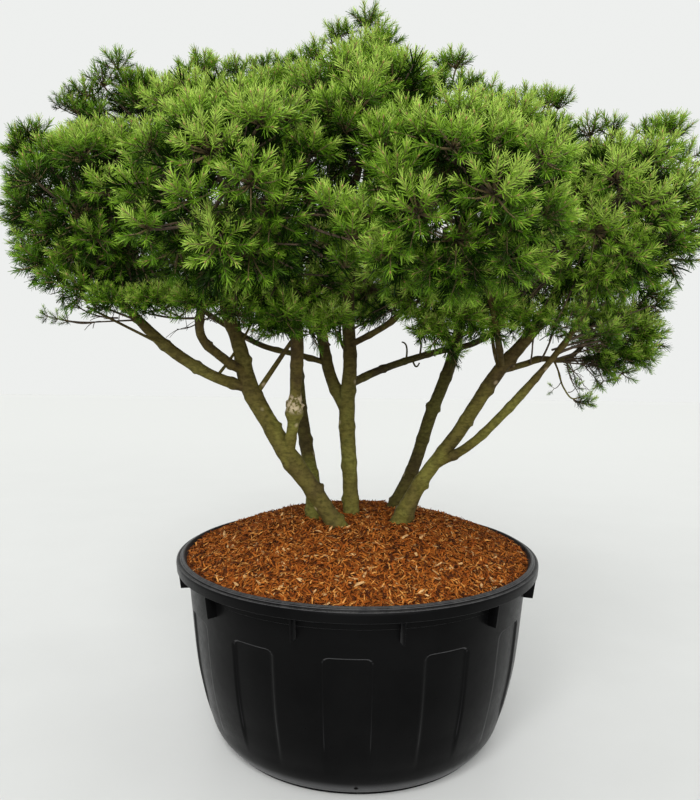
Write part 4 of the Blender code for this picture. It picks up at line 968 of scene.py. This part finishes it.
def golden_ways(count):
    """Ways spread evenly over a ball."""
    k = np.arange(count)
    height = 1 - (2 * k + 1) / count
    flat = np.sqrt(1 - height**2)
    angle = golden_turns(k)
    return np.column_stack((flat * np.cos(angle), flat * np.sin(angle), height))


def cell_planes(name):
    """Planes between a mass of foliage and its neighbours, as in the solids."""
    planes = []
    centre = mass_centre(name)
    for other in MASSES:
        if other == name:
            continue
        between = mass_centre(other) - centre
        distance = np.linalg.norm(between)
        way = between / distance
        mine, theirs = (1 / np.linalg.norm(way / mass_size(n)) for n in (name, other))
        planes.append((way, distance * mine / (mine + theirs)))
    return planes


def reach_of(name, ways, planes):
    """How far a mass reaches each way before it meets its own skin or a neighbour."""
    reach = 1 / np.linalg.norm(ways / mass_size(name), axis=1)
    for way, limit in planes:
        toward = ways @ way
        reach = np.where(toward > 1e-6, np.minimum(reach, limit / np.maximum(toward, 1e-6)), reach)
    return reach


def bent_rods(starts, bends, ends, thick, thin, sides, parts):
    """Tapering rods, each bent from its start towards its bend and on to its end, as points and corners."""
    count = len(starts)
    t = np.linspace(0, 1, parts + 1)[None, :, None]
    line = on_bow(starts[:, None], bends[:, None], ends[:, None], t)
    way = unit(np.gradient(line, axis=1))
    guide = np.where(np.abs(way[:, :1, 2:]) < 0.8, np.array((0.0, 0.0, 1.0)), np.array((1.0, 0.0, 0.0)))
    across = unit(np.cross(way, guide))
    other = np.cross(way, across)
    turn = (2 * np.pi * np.arange(sides) / sides)[None, None, :, None]
    radius = np.asarray(thick)[:, None] * (1 - t[..., 0]) + np.asarray(thin)[:, None] * t[..., 0]
    radius = radius[..., None, None]
    points = line[:, :, None] + radius * (np.cos(turn) * across[:, :, None] + np.sin(turn) * other[:, :, None])
    shape = []
    for p in range(parts):
        for s in range(sides):
            a, b = p * sides + s, p * sides + (s + 1) % sides
            shape += [(a, b, b + sides), (a, b + sides, a + sides)]
    last = parts * sides
    shape += [(last, last + k, last + k + 1) for k in range(1, sides - 1)]
    shape += [(0, k + 1, k) for k in range(1, sides - 1)]
    per = (parts + 1) * sides
    corners = (np.arange(count)[:, None, None] * per + np.array(shape)).reshape(-1, 3)
    return points.reshape(-1, 3), corners


def rod(start, bend, end, thick, thin, sides, parts):
    """One bent rod."""
    marks = (np.array(mark)[None] for mark in (start, bend, end))
    return bent_rods(*marks, np.array([thick]), np.array([thin]), sides, parts)


def joined(parts):
    """Meshes of points and corners as one."""
    points, corners, before = [], [], 0
    for more_points, more_corners in parts:
        points.append(more_points)
        corners.append(more_corners + before)
        before += len(more_points)
    return np.concatenate(points), np.concatenate(corners)


def openness(spots):
    """Share of the sky's light that reaches each place past the masses of foliage."""
    rays = golden_ways(SKY_RAYS)
    rays = rays[rays[:, 2] > SKY_LOWEST]
    weight = 0.35 + np.maximum(rays[:, 2], 0)
    free = np.ones((len(spots), len(rays)), bool)
    for name in MASSES:
        size = mass_size(name) * MASS_SHADE
        start, step = (spots - mass_centre(name)) / size, rays / size
        steep, half, past = (step**2).sum(1), start @ step.T, ((start**2).sum(1) - 1)[:, None]
        inside = half**2 - steep * past
        free &= (inside <= 0) | ((np.sqrt(np.maximum(inside, 0)) - half) / steep < 0.05)
    return (free * weight).sum(1) / weight.sum()


def near_to(spots, places):
    """How near each spot is to one of some marked places, from 0 to 1."""
    nearest = np.zeros(len(spots))
    for *place, radius in places:
        off = np.linalg.norm(spots - np.array(place), axis=1) / radius
        nearest = np.maximum(nearest, np.clip(1.6 - off, 0, 1))
    return nearest


def fanned(rise, number, low, dealt):
    """Ways over a cap round the way that a head rises, down to a cosine."""
    height = 1 - (1 - low) * (np.arange(number) + 0.5) / number
    turn = golden_turns(np.arange(number)) + dealt.uniform(0, 2 * math.pi)
    side = unit(np.cross(rise, (0.31, 0.95, 0.05)))
    other = np.cross(rise, side)
    flat = np.sqrt(1 - height**2)[:, None]
    return unit(rise * height[:, None] + flat * (np.cos(turn)[:, None] * side + np.sin(turn)[:, None] * other)
                + dealt.normal(0, 0.10, (number, 3)))


def past(value, start, length):
    """How far a value is past a start, as a share of a length, from 0 to 1."""
    return min(max(value - start, 0) / length, 1)


def head_light(spot, sky_share, gap, sunny):
    """How bright a head is painted: more under open sky and low in front, less at the far left, the top and in
    gaps.
    """
    x, _, z = spot
    return (0.40 + 0.14 * sky_share - 0.19 * past(-x, 0.55, 0.25) + 0.05 * (x > 0.30)
            - 0.13 * past(z, 1.68, 0.25) + 0.08 * past(-z, -1.52, 0.20) - 0.42 * gap + 0.18 * sunny)


# A tuft's painted light: less high in the crown and at the far left.
def tuft_light(spot):
    return (0.35 if spot[2] > 1.7 else 0.44) - 0.12 * (spot[0] < -0.65)


dealt = np.random.default_rng(41)
wood, shoots, old_shade_sprays, stalk_feet = [], [], [], []


def head_of_shoots(name, spot, axis, number, radius, size, low, light):
    """The shoots of one head: they part at its foot, spread, and turn up towards their tips."""
    ways = fanned(axis, number, low, dealt)
    long = dealt.uniform(*SHOOT_LONG, number)[:, None] * size
    foot = spot + ways * np.maximum(radius * dealt.uniform(0.90, 1.08, (number, 1)) - long, 0.006)
    tip = foot + unit(ways + (0, 0, SHOOT_UPTURN) + dealt.normal(0, 0.06, ways.shape)) * long
    stalk_feet.append(spot + (foot - spot) * 0.1)
    # Painted light: shoots that face up and along the head's axis are painted lighter.
    lit = light - 0.05 + 0.18 * ways[:, 2] + 0.28 * (ways @ axis) + dealt.normal(0, 0.06, number)
    shoots.append((name, foot, tip, np.full(number, size), lit))


for limb_name, (_, name, _) in LIMBS.items():
    if name == "foliage_drooping_tuft":
        continue
    centre, planes = mass_centre(name), cell_planes(name)
    inner, inner_radius = limb_line(limb_name)[0][-1], limb_line(limb_name)[1][-1]
    # Places for heads stand evenly over the mass, and more of them bear one where the sky is open.
    area = 4 * math.pi * (float(np.mean(mass_size(name))) * 0.95) ** 2
    count = int(area / HEAD_STEP**2)
    ways = unit(golden_ways(count) + dealt.normal(0, 0.05, (count, 3)))
    reach = reach_of(name, ways, planes)
    surface = centre + ways * (reach * 0.98)[:, None]
    sky_share, gap, sunny = openness(surface), near_to(surface, GAPS), near_to(surface, SUNNY)
    chance = np.clip((sky_share + 0.03) / 0.17, 0.10, 1.0) * (1 - 0.3 * gap) * LEAFY.get(name, 1.0)
    if name == "foliage_low_right":
        chance *= np.where(ways[:, 2] > -0.15, np.clip(0.75 + ways[:, 0], 0.2, 1.0), 0.0)
    chance = np.maximum(chance, TOP_CHANCE * (ways[:, 2] > 0.25) * (centre[2] > 1.5))
    keep = dealt.uniform(0, 1, count) < np.maximum(chance, sunny)
    keep &= near_to(surface - ways * 0.05, OPEN) < 0.6
    ways, reach, sky_share, gap, sunny = (part[keep] for part in (ways, reach, sky_share, gap, sunny))
    rounds = dealt.uniform(*HEAD_ROUND, len(ways))
    back = rounds + 0.020 + dealt.uniform(0, HEAD_BACK, len(ways)) * (1 - sunny) + 0.075 * gap - 0.010 * sunny
    spots = centre + ways * np.maximum(reach - back, 0.36 * reach)[:, None]
    outward = unit((spots - HEART) / np.array((1.0, 1.0, 0.7)))
    # The limb's end forks into boughs, these into twigs, and each twig carries the heads nearest to it.
    twig_ways = golden_ways(max(len(ways) // 3, 3))
    twig_reach = reach_of(name, twig_ways, planes)
    twigs = centre + twig_ways * twig_reach[:, None] * TWIG_DEEP + dealt.normal(0, 0.012, twig_ways.shape)
    bough_ways = golden_ways(BOUGHS)
    bough_reach = reach_of(name, bough_ways, planes)
    boughs = centre + bough_ways * bough_reach[:, None] * BOUGH_DEEP
    twig_from = np.argmax(twig_ways @ bough_ways.T, axis=1)
    used_twigs = np.unique(np.argmax(ways @ twig_ways.T, axis=1))
    used_boughs = np.unique(twig_from[used_twigs])
    start = np.repeat(inner[None], len(used_boughs), 0)
    end = boughs[used_boughs]
    wood.append(bent_rods(start, (start + end) / 2 + (inner - centre) * -0.15, end,
                          np.full(len(start), inner_radius * 0.95), np.full(len(start), BOUGH_RADIUS), 6, 5))
    start = boughs[twig_from[used_twigs]]
    wood.append(bent_rods(start, start + bough_ways[twig_from[used_twigs]] * 0.05, twigs[used_twigs],
                          np.full(len(start), BOUGH_RADIUS), np.full(len(start), TWIG_RADIUS), 5, 4))
    start = twigs[np.argmax(ways @ twig_ways.T, axis=1)]
    wood.append(bent_rods(start, (start + spots) / 2 + (0, 0, -0.012), spots,
                          np.full(len(start), TWIG_RADIUS), np.full(len(start), TWIG_TIP), 5, 5))
    for k in range(len(ways)):
        number = max(int(round(SHOOTS * (rounds[k] / FULL_HEAD) ** 2 * dealt.uniform(0.85, 1.15))), 6)
        light = head_light(spots[k], sky_share[k], gap[k], sunny[k]) + dealt.normal(0, 0.10)
        axis = unit(ways[k] + 0.3 * outward[k] + (0, 0, HEAD_UPRIGHT))
        head_of_shoots(name, spots[k], axis, number, rounds[k], 1.0, -0.12, light)
    # Older sprays fill the mass behind its heads, painted in the darkest green as painted shade.
    old_ways = golden_ways(int(OLD_SPRAYS * OLD_MORE.get(name, 1.0)))
    old_reach = reach_of(name, old_ways, planes)
    old_share = dealt.uniform(*OLD_DEEP, len(old_ways)) * (1 - 0.30 * np.maximum(old_ways[:, 2], 0))
    old_spots = centre + old_ways * (old_reach * old_share)[:, None]
    shown = (((old_spots - HEART) * old_ways).sum(1) > -0.12) & (old_spots[:, 2] < OLD_HIGHEST)
    shown &= near_to(old_spots, OPEN) < 0.4
    old_spots, old_ways = old_spots[shown], old_ways[shown]
    old_heads = unit(old_ways + (0, 0, 0.3) + dealt.normal(0, 0.35, old_ways.shape))
    small = min(float(np.mean(mass_size(name))) / 0.30, 1.0)
    old_tips = old_spots + old_heads * dealt.uniform(*OLD_LONG, (len(old_heads), 1)) * small
    start = twigs[np.argmax(old_ways @ twig_ways.T, axis=1)]
    wood.append(bent_rods(start, (start + old_spots) / 2 + (0, 0, 0.01), old_tips,
                          np.full(len(start), 0.0036), np.full(len(start), 0.0018), 4, 3))
    old_shade_sprays.append((name, old_spots, old_tips))
for name, twig_foot, tufts in TUFTS:
    for spot, way, number, size in tufts:
        spot = np.array(spot)
        foot = np.array(twig_foot) if twig_foot else mass_centre(name) + (spot - mass_centre(name)) * TUFT_FOOT
        wood.append(rod(foot, (foot + spot) / 2 + (0, 0, -0.012), spot, 0.0040 * size, 0.0026 * size, 5, 6))
        head_of_shoots(name, spot, unit(np.array(way)), number, TUFT_ROUND * size, size, 0.15,
                       tuft_light(spot) + dealt.normal(0, 0.06))
        if number > 5 and spot[2] < OLD_HIGHEST:
            old_shade_sprays.append((name, (foot + (spot - foot) * 0.35)[None], spot[None]))
for foot, bend, end, radius in AIRY_TWIGS:
    foot, bend, end = np.array(foot), np.array(bend), np.array(end)
    wood.append(rod(foot, bend, end, radius, radius * 0.6, 6, 8))
    for t in SIDE_TWIGS:
        fork = on_bow(foot, bend, end, t)
        spot = fork + unit(np.array((0.6, -0.2, 0.0)) + dealt.normal(0, 0.55, 3)) * dealt.uniform(0.040, 0.075)
        wood.append(rod(fork, (fork + spot) / 2 + (0, 0, -0.006), spot, 0.0020, 0.0014, 4, 4))
        head_of_shoots("foliage_low_right", spot, unit(spot - fork + (0, 0, 0.02)), int(dealt.integers(3, 6)),
                       0.045, 0.85, 0.2, 0.46 + dealt.normal(0, 0.06))
for foot, bend, end, radius in DARK_TWIGS:
    foot, bend, end = np.array(foot), np.array(bend), np.array(end)
    wood.append(rod(foot, bend, end, radius, radius * 0.5, 6, 9))
    for t in dealt.uniform(0.25, 1.0, 6):
        fork = on_bow(foot, bend, end, t)
        aside = unit(end - foot + dealt.normal(0, 0.12, 3)) * dealt.uniform(0.020, 0.055)
        bow = fork + aside * 0.5 + (0, 0, 0.005)
        wood.append(rod(fork, bow, fork + aside, radius * 0.45, radius * 0.3, 4, 3))
owner = np.concatenate([[name] * len(lit) for name, _, _, _, lit in shoots])
base, tip, size, light = (np.concatenate([part[k] for part in shoots]) for k in (1, 2, 3, 4))

twig_brown, tree, shader = new_finish("twig_brown", 0.85)
flecks = grain(tree, 70.0, 4.0)
tree.links.new(stops(tree, flecks, (0.3, (0.022, 0.014, 0.007)), (0.7, (0.080, 0.050, 0.022))),
               shader.inputs["Base Color"])
bumped(tree, shader, grain(tree, 380.0, 3.0), 0.0012, 0.8)
crown_wood = from_arrays("crown_boughs_and_twigs", *joined(wood), twig_brown, smooth=True)
fitted(crown_wood, "stem_bark", *MASSES)

bare = joined([rod(foot, bend, end, radius, radius * 0.7, 10, 14) for foot, bend, end, radius in BARE_TWIGS])
bare_twigs = from_arrays("bare_twigs", *bare, bark, smooth=True)
fitted(bare_twigs, "stem_bark", "limb_upright", "bough_right_low", "bough_right_long", "bough_left_long")

shoot_brown, tree, shader = new_finish("shoot_brown", 0.7)
tree.links.new(stops(tree, grain(tree, 90.0, 3.0), (0.3, (0.060, 0.038, 0.012)), (0.7, (0.120, 0.090, 0.025))),
               shader.inputs["Base Color"])
bumped(tree, shader, grain(tree, 500.0, 2.0), 0.0006, 0.6)
stalks = bent_rods(np.concatenate(stalk_feet), base, tip, 0.0026 * size, 0.0016 * size, 3, 2)
shoot_stalks = from_arrays("shoot_stalks", *stalks, shoot_brown, smooth=True)
fitted(shoot_stalks, "stem_bark", *MASSES)


# ---------------------------------------------------------------------------------------------------------
# The buds. The shoots in more light end in a small resinous bud, red brown and pointed, sitting in its ring of
# needles.
BUD_LONG, BUD_WIDE = 0.010, 0.0021
BUD_LIGHT = 0.45


def square_to(way):
    """Two directions square to each way and to each other."""
    across = unit(np.cross(way, np.where(np.abs(way[:, 2:]) < 0.9, (0.0, 0.0, 1.0), (1.0, 0.0, 0.0))))
    return across, np.cross(way, across)


budding = light > BUD_LIGHT
way, bud_size, bud_foot = unit(tip - base)[budding], size[budding, None], tip[budding]
across, other = square_to(way)
waist = bud_foot + way * BUD_LONG * 0.35 * bud_size
ring = [waist + BUD_WIDE * bud_size * (math.cos(a) * across + math.sin(a) * other)
        for a in (0, math.pi / 2, math.pi, 3 * math.pi / 2)]
points = np.stack([bud_foot - way * 0.002] + ring + [bud_foot + way * BUD_LONG * bud_size], 1)
shape = np.array([(0, 1 + (k + 1) % 4, 1 + k) for k in range(4)]
                 + [(5, 1 + k, 1 + (k + 1) % 4) for k in range(4)])
corners = (np.arange(len(way))[:, None, None] * 6 + shape).reshape(-1, 3)
bud_brown, tree, shader = new_finish("bud_brown", 0.5)
tree.links.new(stops(tree, grain(tree, 150.0, 3.0), (0.3, (0.20, 0.095, 0.035)), (0.7, (0.36, 0.22, 0.090))),
               shader.inputs["Base Color"])
bumped(tree, shader, grain(tree, 900.0, 2.0), 0.0004, 0.6)
buds = from_arrays("shoot_buds", points.reshape(-1, 3), corners, bud_brown, smooth=True)
fitted(buds, "stem_bark", *MASSES)


# ---------------------------------------------------------------------------------------------------------
# The needles. Stiff needles 2 to 3 cm long stand round every shoot, spread wide at its foot and closing to a
# brush at its tip. Each is one twisted blade, painted dark green where shade falls and yellow green where light
# falls.
NEEDLES, OLD_NEEDLES = 44, 30
NEEDLE_LONG = (0.019, 0.0265)
NEEDLE_WIDE = 0.0028
FOOT_SHARE, TIP_SHARE, NEEDLE_TWIST = 0.42, 0.20, 1.0
LEAN_FOOT, LEAN_CLOSING = 66, 48
OLD_LARGER, OLD_FULL_LONG = 1.9, 0.065
# Five greens of painted light, from painted shade to full painted light, each with a shine that drops in the
# painted shade.
GREENS = {
    "shade": (0.006, 0.018, 0.001),
    "deep": (0.022, 0.061, 0.002),
    "mid": (0.075, 0.167, 0.006),
    "fresh": (0.172, 0.303, 0.022),
    "tip": (0.305, 0.442, 0.066),
}
SHINE = {"shade": 0.04, "deep": 0.08, "mid": 0.12, "fresh": 0.15, "tip": 0.17}
# A shoot is painted the green of its light, with the green below it at its foot as painted shade and the one
# above at its tip as painted light.
LIT = (0.20, 0.38, 0.58, 0.80)
SHARES = (0.0, 0.34, 0.80, 1.0)
MOST_NEEDLES = 97000


def needle_blades(base, tip, size, count, shares, dealt):
    """Twisted blades round each shoot between two shares of its count, as points four to a needle."""
    number = np.arange(int(count * shares[0]), int(count * shares[1]))
    t = ((number + 0.5) / count)[None]
    way = tip - base
    long = np.linalg.norm(way, axis=1, keepdims=True)
    way = way / long
    across, other = square_to(way)
    spread = (len(base), len(number))
    turn = golden_turns(number[None]) + dealt.uniform(0, 2 * math.pi, (len(base), 1))
    turn = turn + dealt.normal(0, 0.25, spread)
    lean = np.radians(LEAN_FOOT - LEAN_CLOSING * t**1.3) + dealt.normal(0, 0.14, spread)
    foot = base[:, None] + way[:, None] * (long * (0.02 + 0.98 * t**0.9))[..., None]
    ring = np.cos(turn)[..., None] * across[:, None] + np.sin(turn)[..., None] * other[:, None]
    head = unit(np.cos(lean)[..., None] * way[:, None] + np.sin(lean)[..., None] * ring)
    reach = dealt.uniform(*NEEDLE_LONG, spread)[..., None] * size[:, None, None]
    wide = NEEDLE_WIDE * size[:, None, None] * dealt.uniform(0.8, 1.15, spread)[..., None]
    side = unit(np.cross(head, way[:, None] + 0.001))
    top = np.cross(side, head)
    roll = dealt.uniform(0, 2 * math.pi, spread)[..., None]
    near = (side * np.cos(roll) + top * np.sin(roll)) * wide * FOOT_SHARE
    far = (side * np.cos(roll + NEEDLE_TWIST) + top * np.sin(roll + NEEDLE_TWIST)) * wide * TIP_SHARE
    end = foot + head * reach
    return np.stack((foot + near, foot - near, end - far, end + far), 2).reshape(-1, 4, 3)


names = list(GREENS)
level = np.searchsorted(LIT, light)
made = {shade: [] for shade in names}
dealt = np.random.default_rng(7)
for mass in MASSES:
    for shade in range(len(names)):
        chosen = (owner == mass) & (level == shade)
        if not chosen.any():
            continue
        for part, step in enumerate((-1, 0, 1)):
            kind = names[min(max(shade + step, 0), len(names) - 1)]
            made[kind].append((mass, needle_blades(base[chosen], tip[chosen], size[chosen], NEEDLES,
                                                   SHARES[part:part + 2], dealt)))
# The old sprays are painted the darkest green, as painted shade inside the crown.
for mass, spots, tips in old_shade_sprays:
    grown = OLD_LARGER * np.clip(np.linalg.norm(tips - spots, axis=1) / OLD_FULL_LONG, 0.45, 1.0)
    made["shade"].append((mass, needle_blades(spots, tips, grown, OLD_NEEDLES, (0.0, 1.0), dealt)))
# One material for each green of painted light.
for shade, colour in GREENS.items():
    needle_green, tree, shader = new_finish("needles_" + shade, 0.52)
    shader.inputs["Specular IOR Level"].default_value = SHINE[shade]
    tint = grain(tree, 60.0, 2.0)
    deep = tuple(c * 0.80 for c in colour)
    pale = tuple(min(c * 1.15, 1) for c in colour)
    tree.links.new(stops(tree, tint, (0.35, deep), (0.65, pale)), shader.inputs["Base Color"])
    tree.links.new(stops(tree, tint, (0.3, 0.34), (0.7, 0.48)), shader.inputs["Roughness"])
    bumped(tree, shader, grain(tree, 900.0, 2.0), 0.0003, 0.4)
    # Sprays are joined into one piece until the next would take it past the most that a piece may hold.
    group, number = [], 0
    for k, (mass, blades) in enumerate(made[shade]):
        group.append((mass, blades))
        held = sum(len(b) for _, b in group)
        following = len(made[shade][k + 1][1]) if k + 1 < len(made[shade]) else MOST_NEEDLES
        if held + following <= MOST_NEEDLES:
            continue
        number += 1
        blades = np.concatenate([b for _, b in group])
        corners = (np.arange(len(blades))[:, None, None] * 4 + np.array(((0, 1, 2), (0, 2, 3)))).reshape(-1, 3)
        sprays = from_arrays(f"needles_{shade}_{number}", blades.reshape(-1, 3), corners, needle_green)
        fitted(sprays, "pine_needles", *dict.fromkeys(m for m, _ in group))
        group = []


# ---------------------------------------------------------------------------------------------------------
# The floor, the light and the camera. A plain pale floor under a soft white sky. Two broad suns shine from the
# front, one high and one low, with a soft disk high at the left. The camera stands at the height of the lowest
# boughs and looks down a little.
FLOOR_HALF = 14.0
FLOOR_FAR = (0.674, 0.680, 0.664)
SKY_WHITE, SKY_STRENGTH = (0.97, 0.985, 0.97, 1), 0.88
# Name, kind, place, aim, how broad it is (an angle for a sun, metres for a disk) and how strong.
LAMPS = (
    ("lamp_high", "SUN", (-0.5, -2.8, 3.4), (0, 0, 1.0), math.radians(36), 1.45),
    ("lamp_low", "SUN", (0.5, -3.0, 1.7), (0, 0, 1.2), math.radians(50), 1.85),
    ("lamp_front", "AREA", (-0.9, -3.2, 3.9), (0, 0, 1.5), 0.9, 45),
)
CAMERA_AT = (-0.0286, -2.386, 1.243)
CAMERA_PITCH, CAMERA_ROLL = 0.0782, 0.0116
FOCAL_PIXELS, PICTURE_TALL, SENSOR = 750, 800, 36.0

tool = bmesh.new()
bmesh.ops.create_grid(tool, x_segments=8, y_segments=8, size=FLOOR_HALF)
floor_pale, tree, shader = new_finish("floor_pale", 0.5)
pale = stops(tree, grain(tree, 2.0, 4.0), (0.3, (0.610, 0.615, 0.605)), (0.7, (0.635, 0.640, 0.630)))
away = ranged(tree, axes_of(tree, own_place(tree))["Y"], 0.5, 7.0, 0.0, 1.0)
tree.links.new(mixed(tree, away, pale, FLOOR_FAR), shader.inputs["Base Color"])
bumped(tree, shader, grain(tree, 40.0, 3.0), 0.001, 0.2)
floor = placed(tool, "studio_floor", floor_pale)

sky = bpy.data.worlds.new("studio_sky")
sky.use_nodes = True
sky.node_tree.nodes["Background"].inputs["Color"].default_value = SKY_WHITE
sky.node_tree.nodes["Background"].inputs["Strength"].default_value = SKY_STRENGTH
bpy.context.scene.world = sky
for name, kind, spot, aim, broad, power in LAMPS:
    lamp = bpy.data.lights.new(name, kind)
    lamp.energy = power
    if kind == "SUN":
        lamp.angle = broad
    else:
        lamp.shape, lamp.size = "DISK", broad
    holder = bpy.data.objects.new(name, lamp)
    holder.location = spot
    holder.rotation_euler = (Vector(aim) - Vector(spot)).to_track_quat("-Z", "Y").to_euler()
    bpy.context.scene.collection.objects.link(holder)

camera = bpy.data.cameras.new("photo_camera")
camera.lens, camera.sensor_width, camera.sensor_fit = FOCAL_PIXELS / PICTURE_TALL * SENSOR, SENSOR, "AUTO"
camera.clip_end = 100
viewer = bpy.data.objects.new("photo_camera", camera)
viewer.matrix_world = (Matrix.Translation(CAMERA_AT) @ Matrix.Rotation(math.pi / 2 - CAMERA_PITCH, 4, "X")
                       @ Matrix.Rotation(CAMERA_ROLL, 4, "Z"))
bpy.context.scene.collection.objects.link(viewer)
bpy.context.scene.camera = viewer
bpy.context.scene.view_settings.view_transform = "Standard"
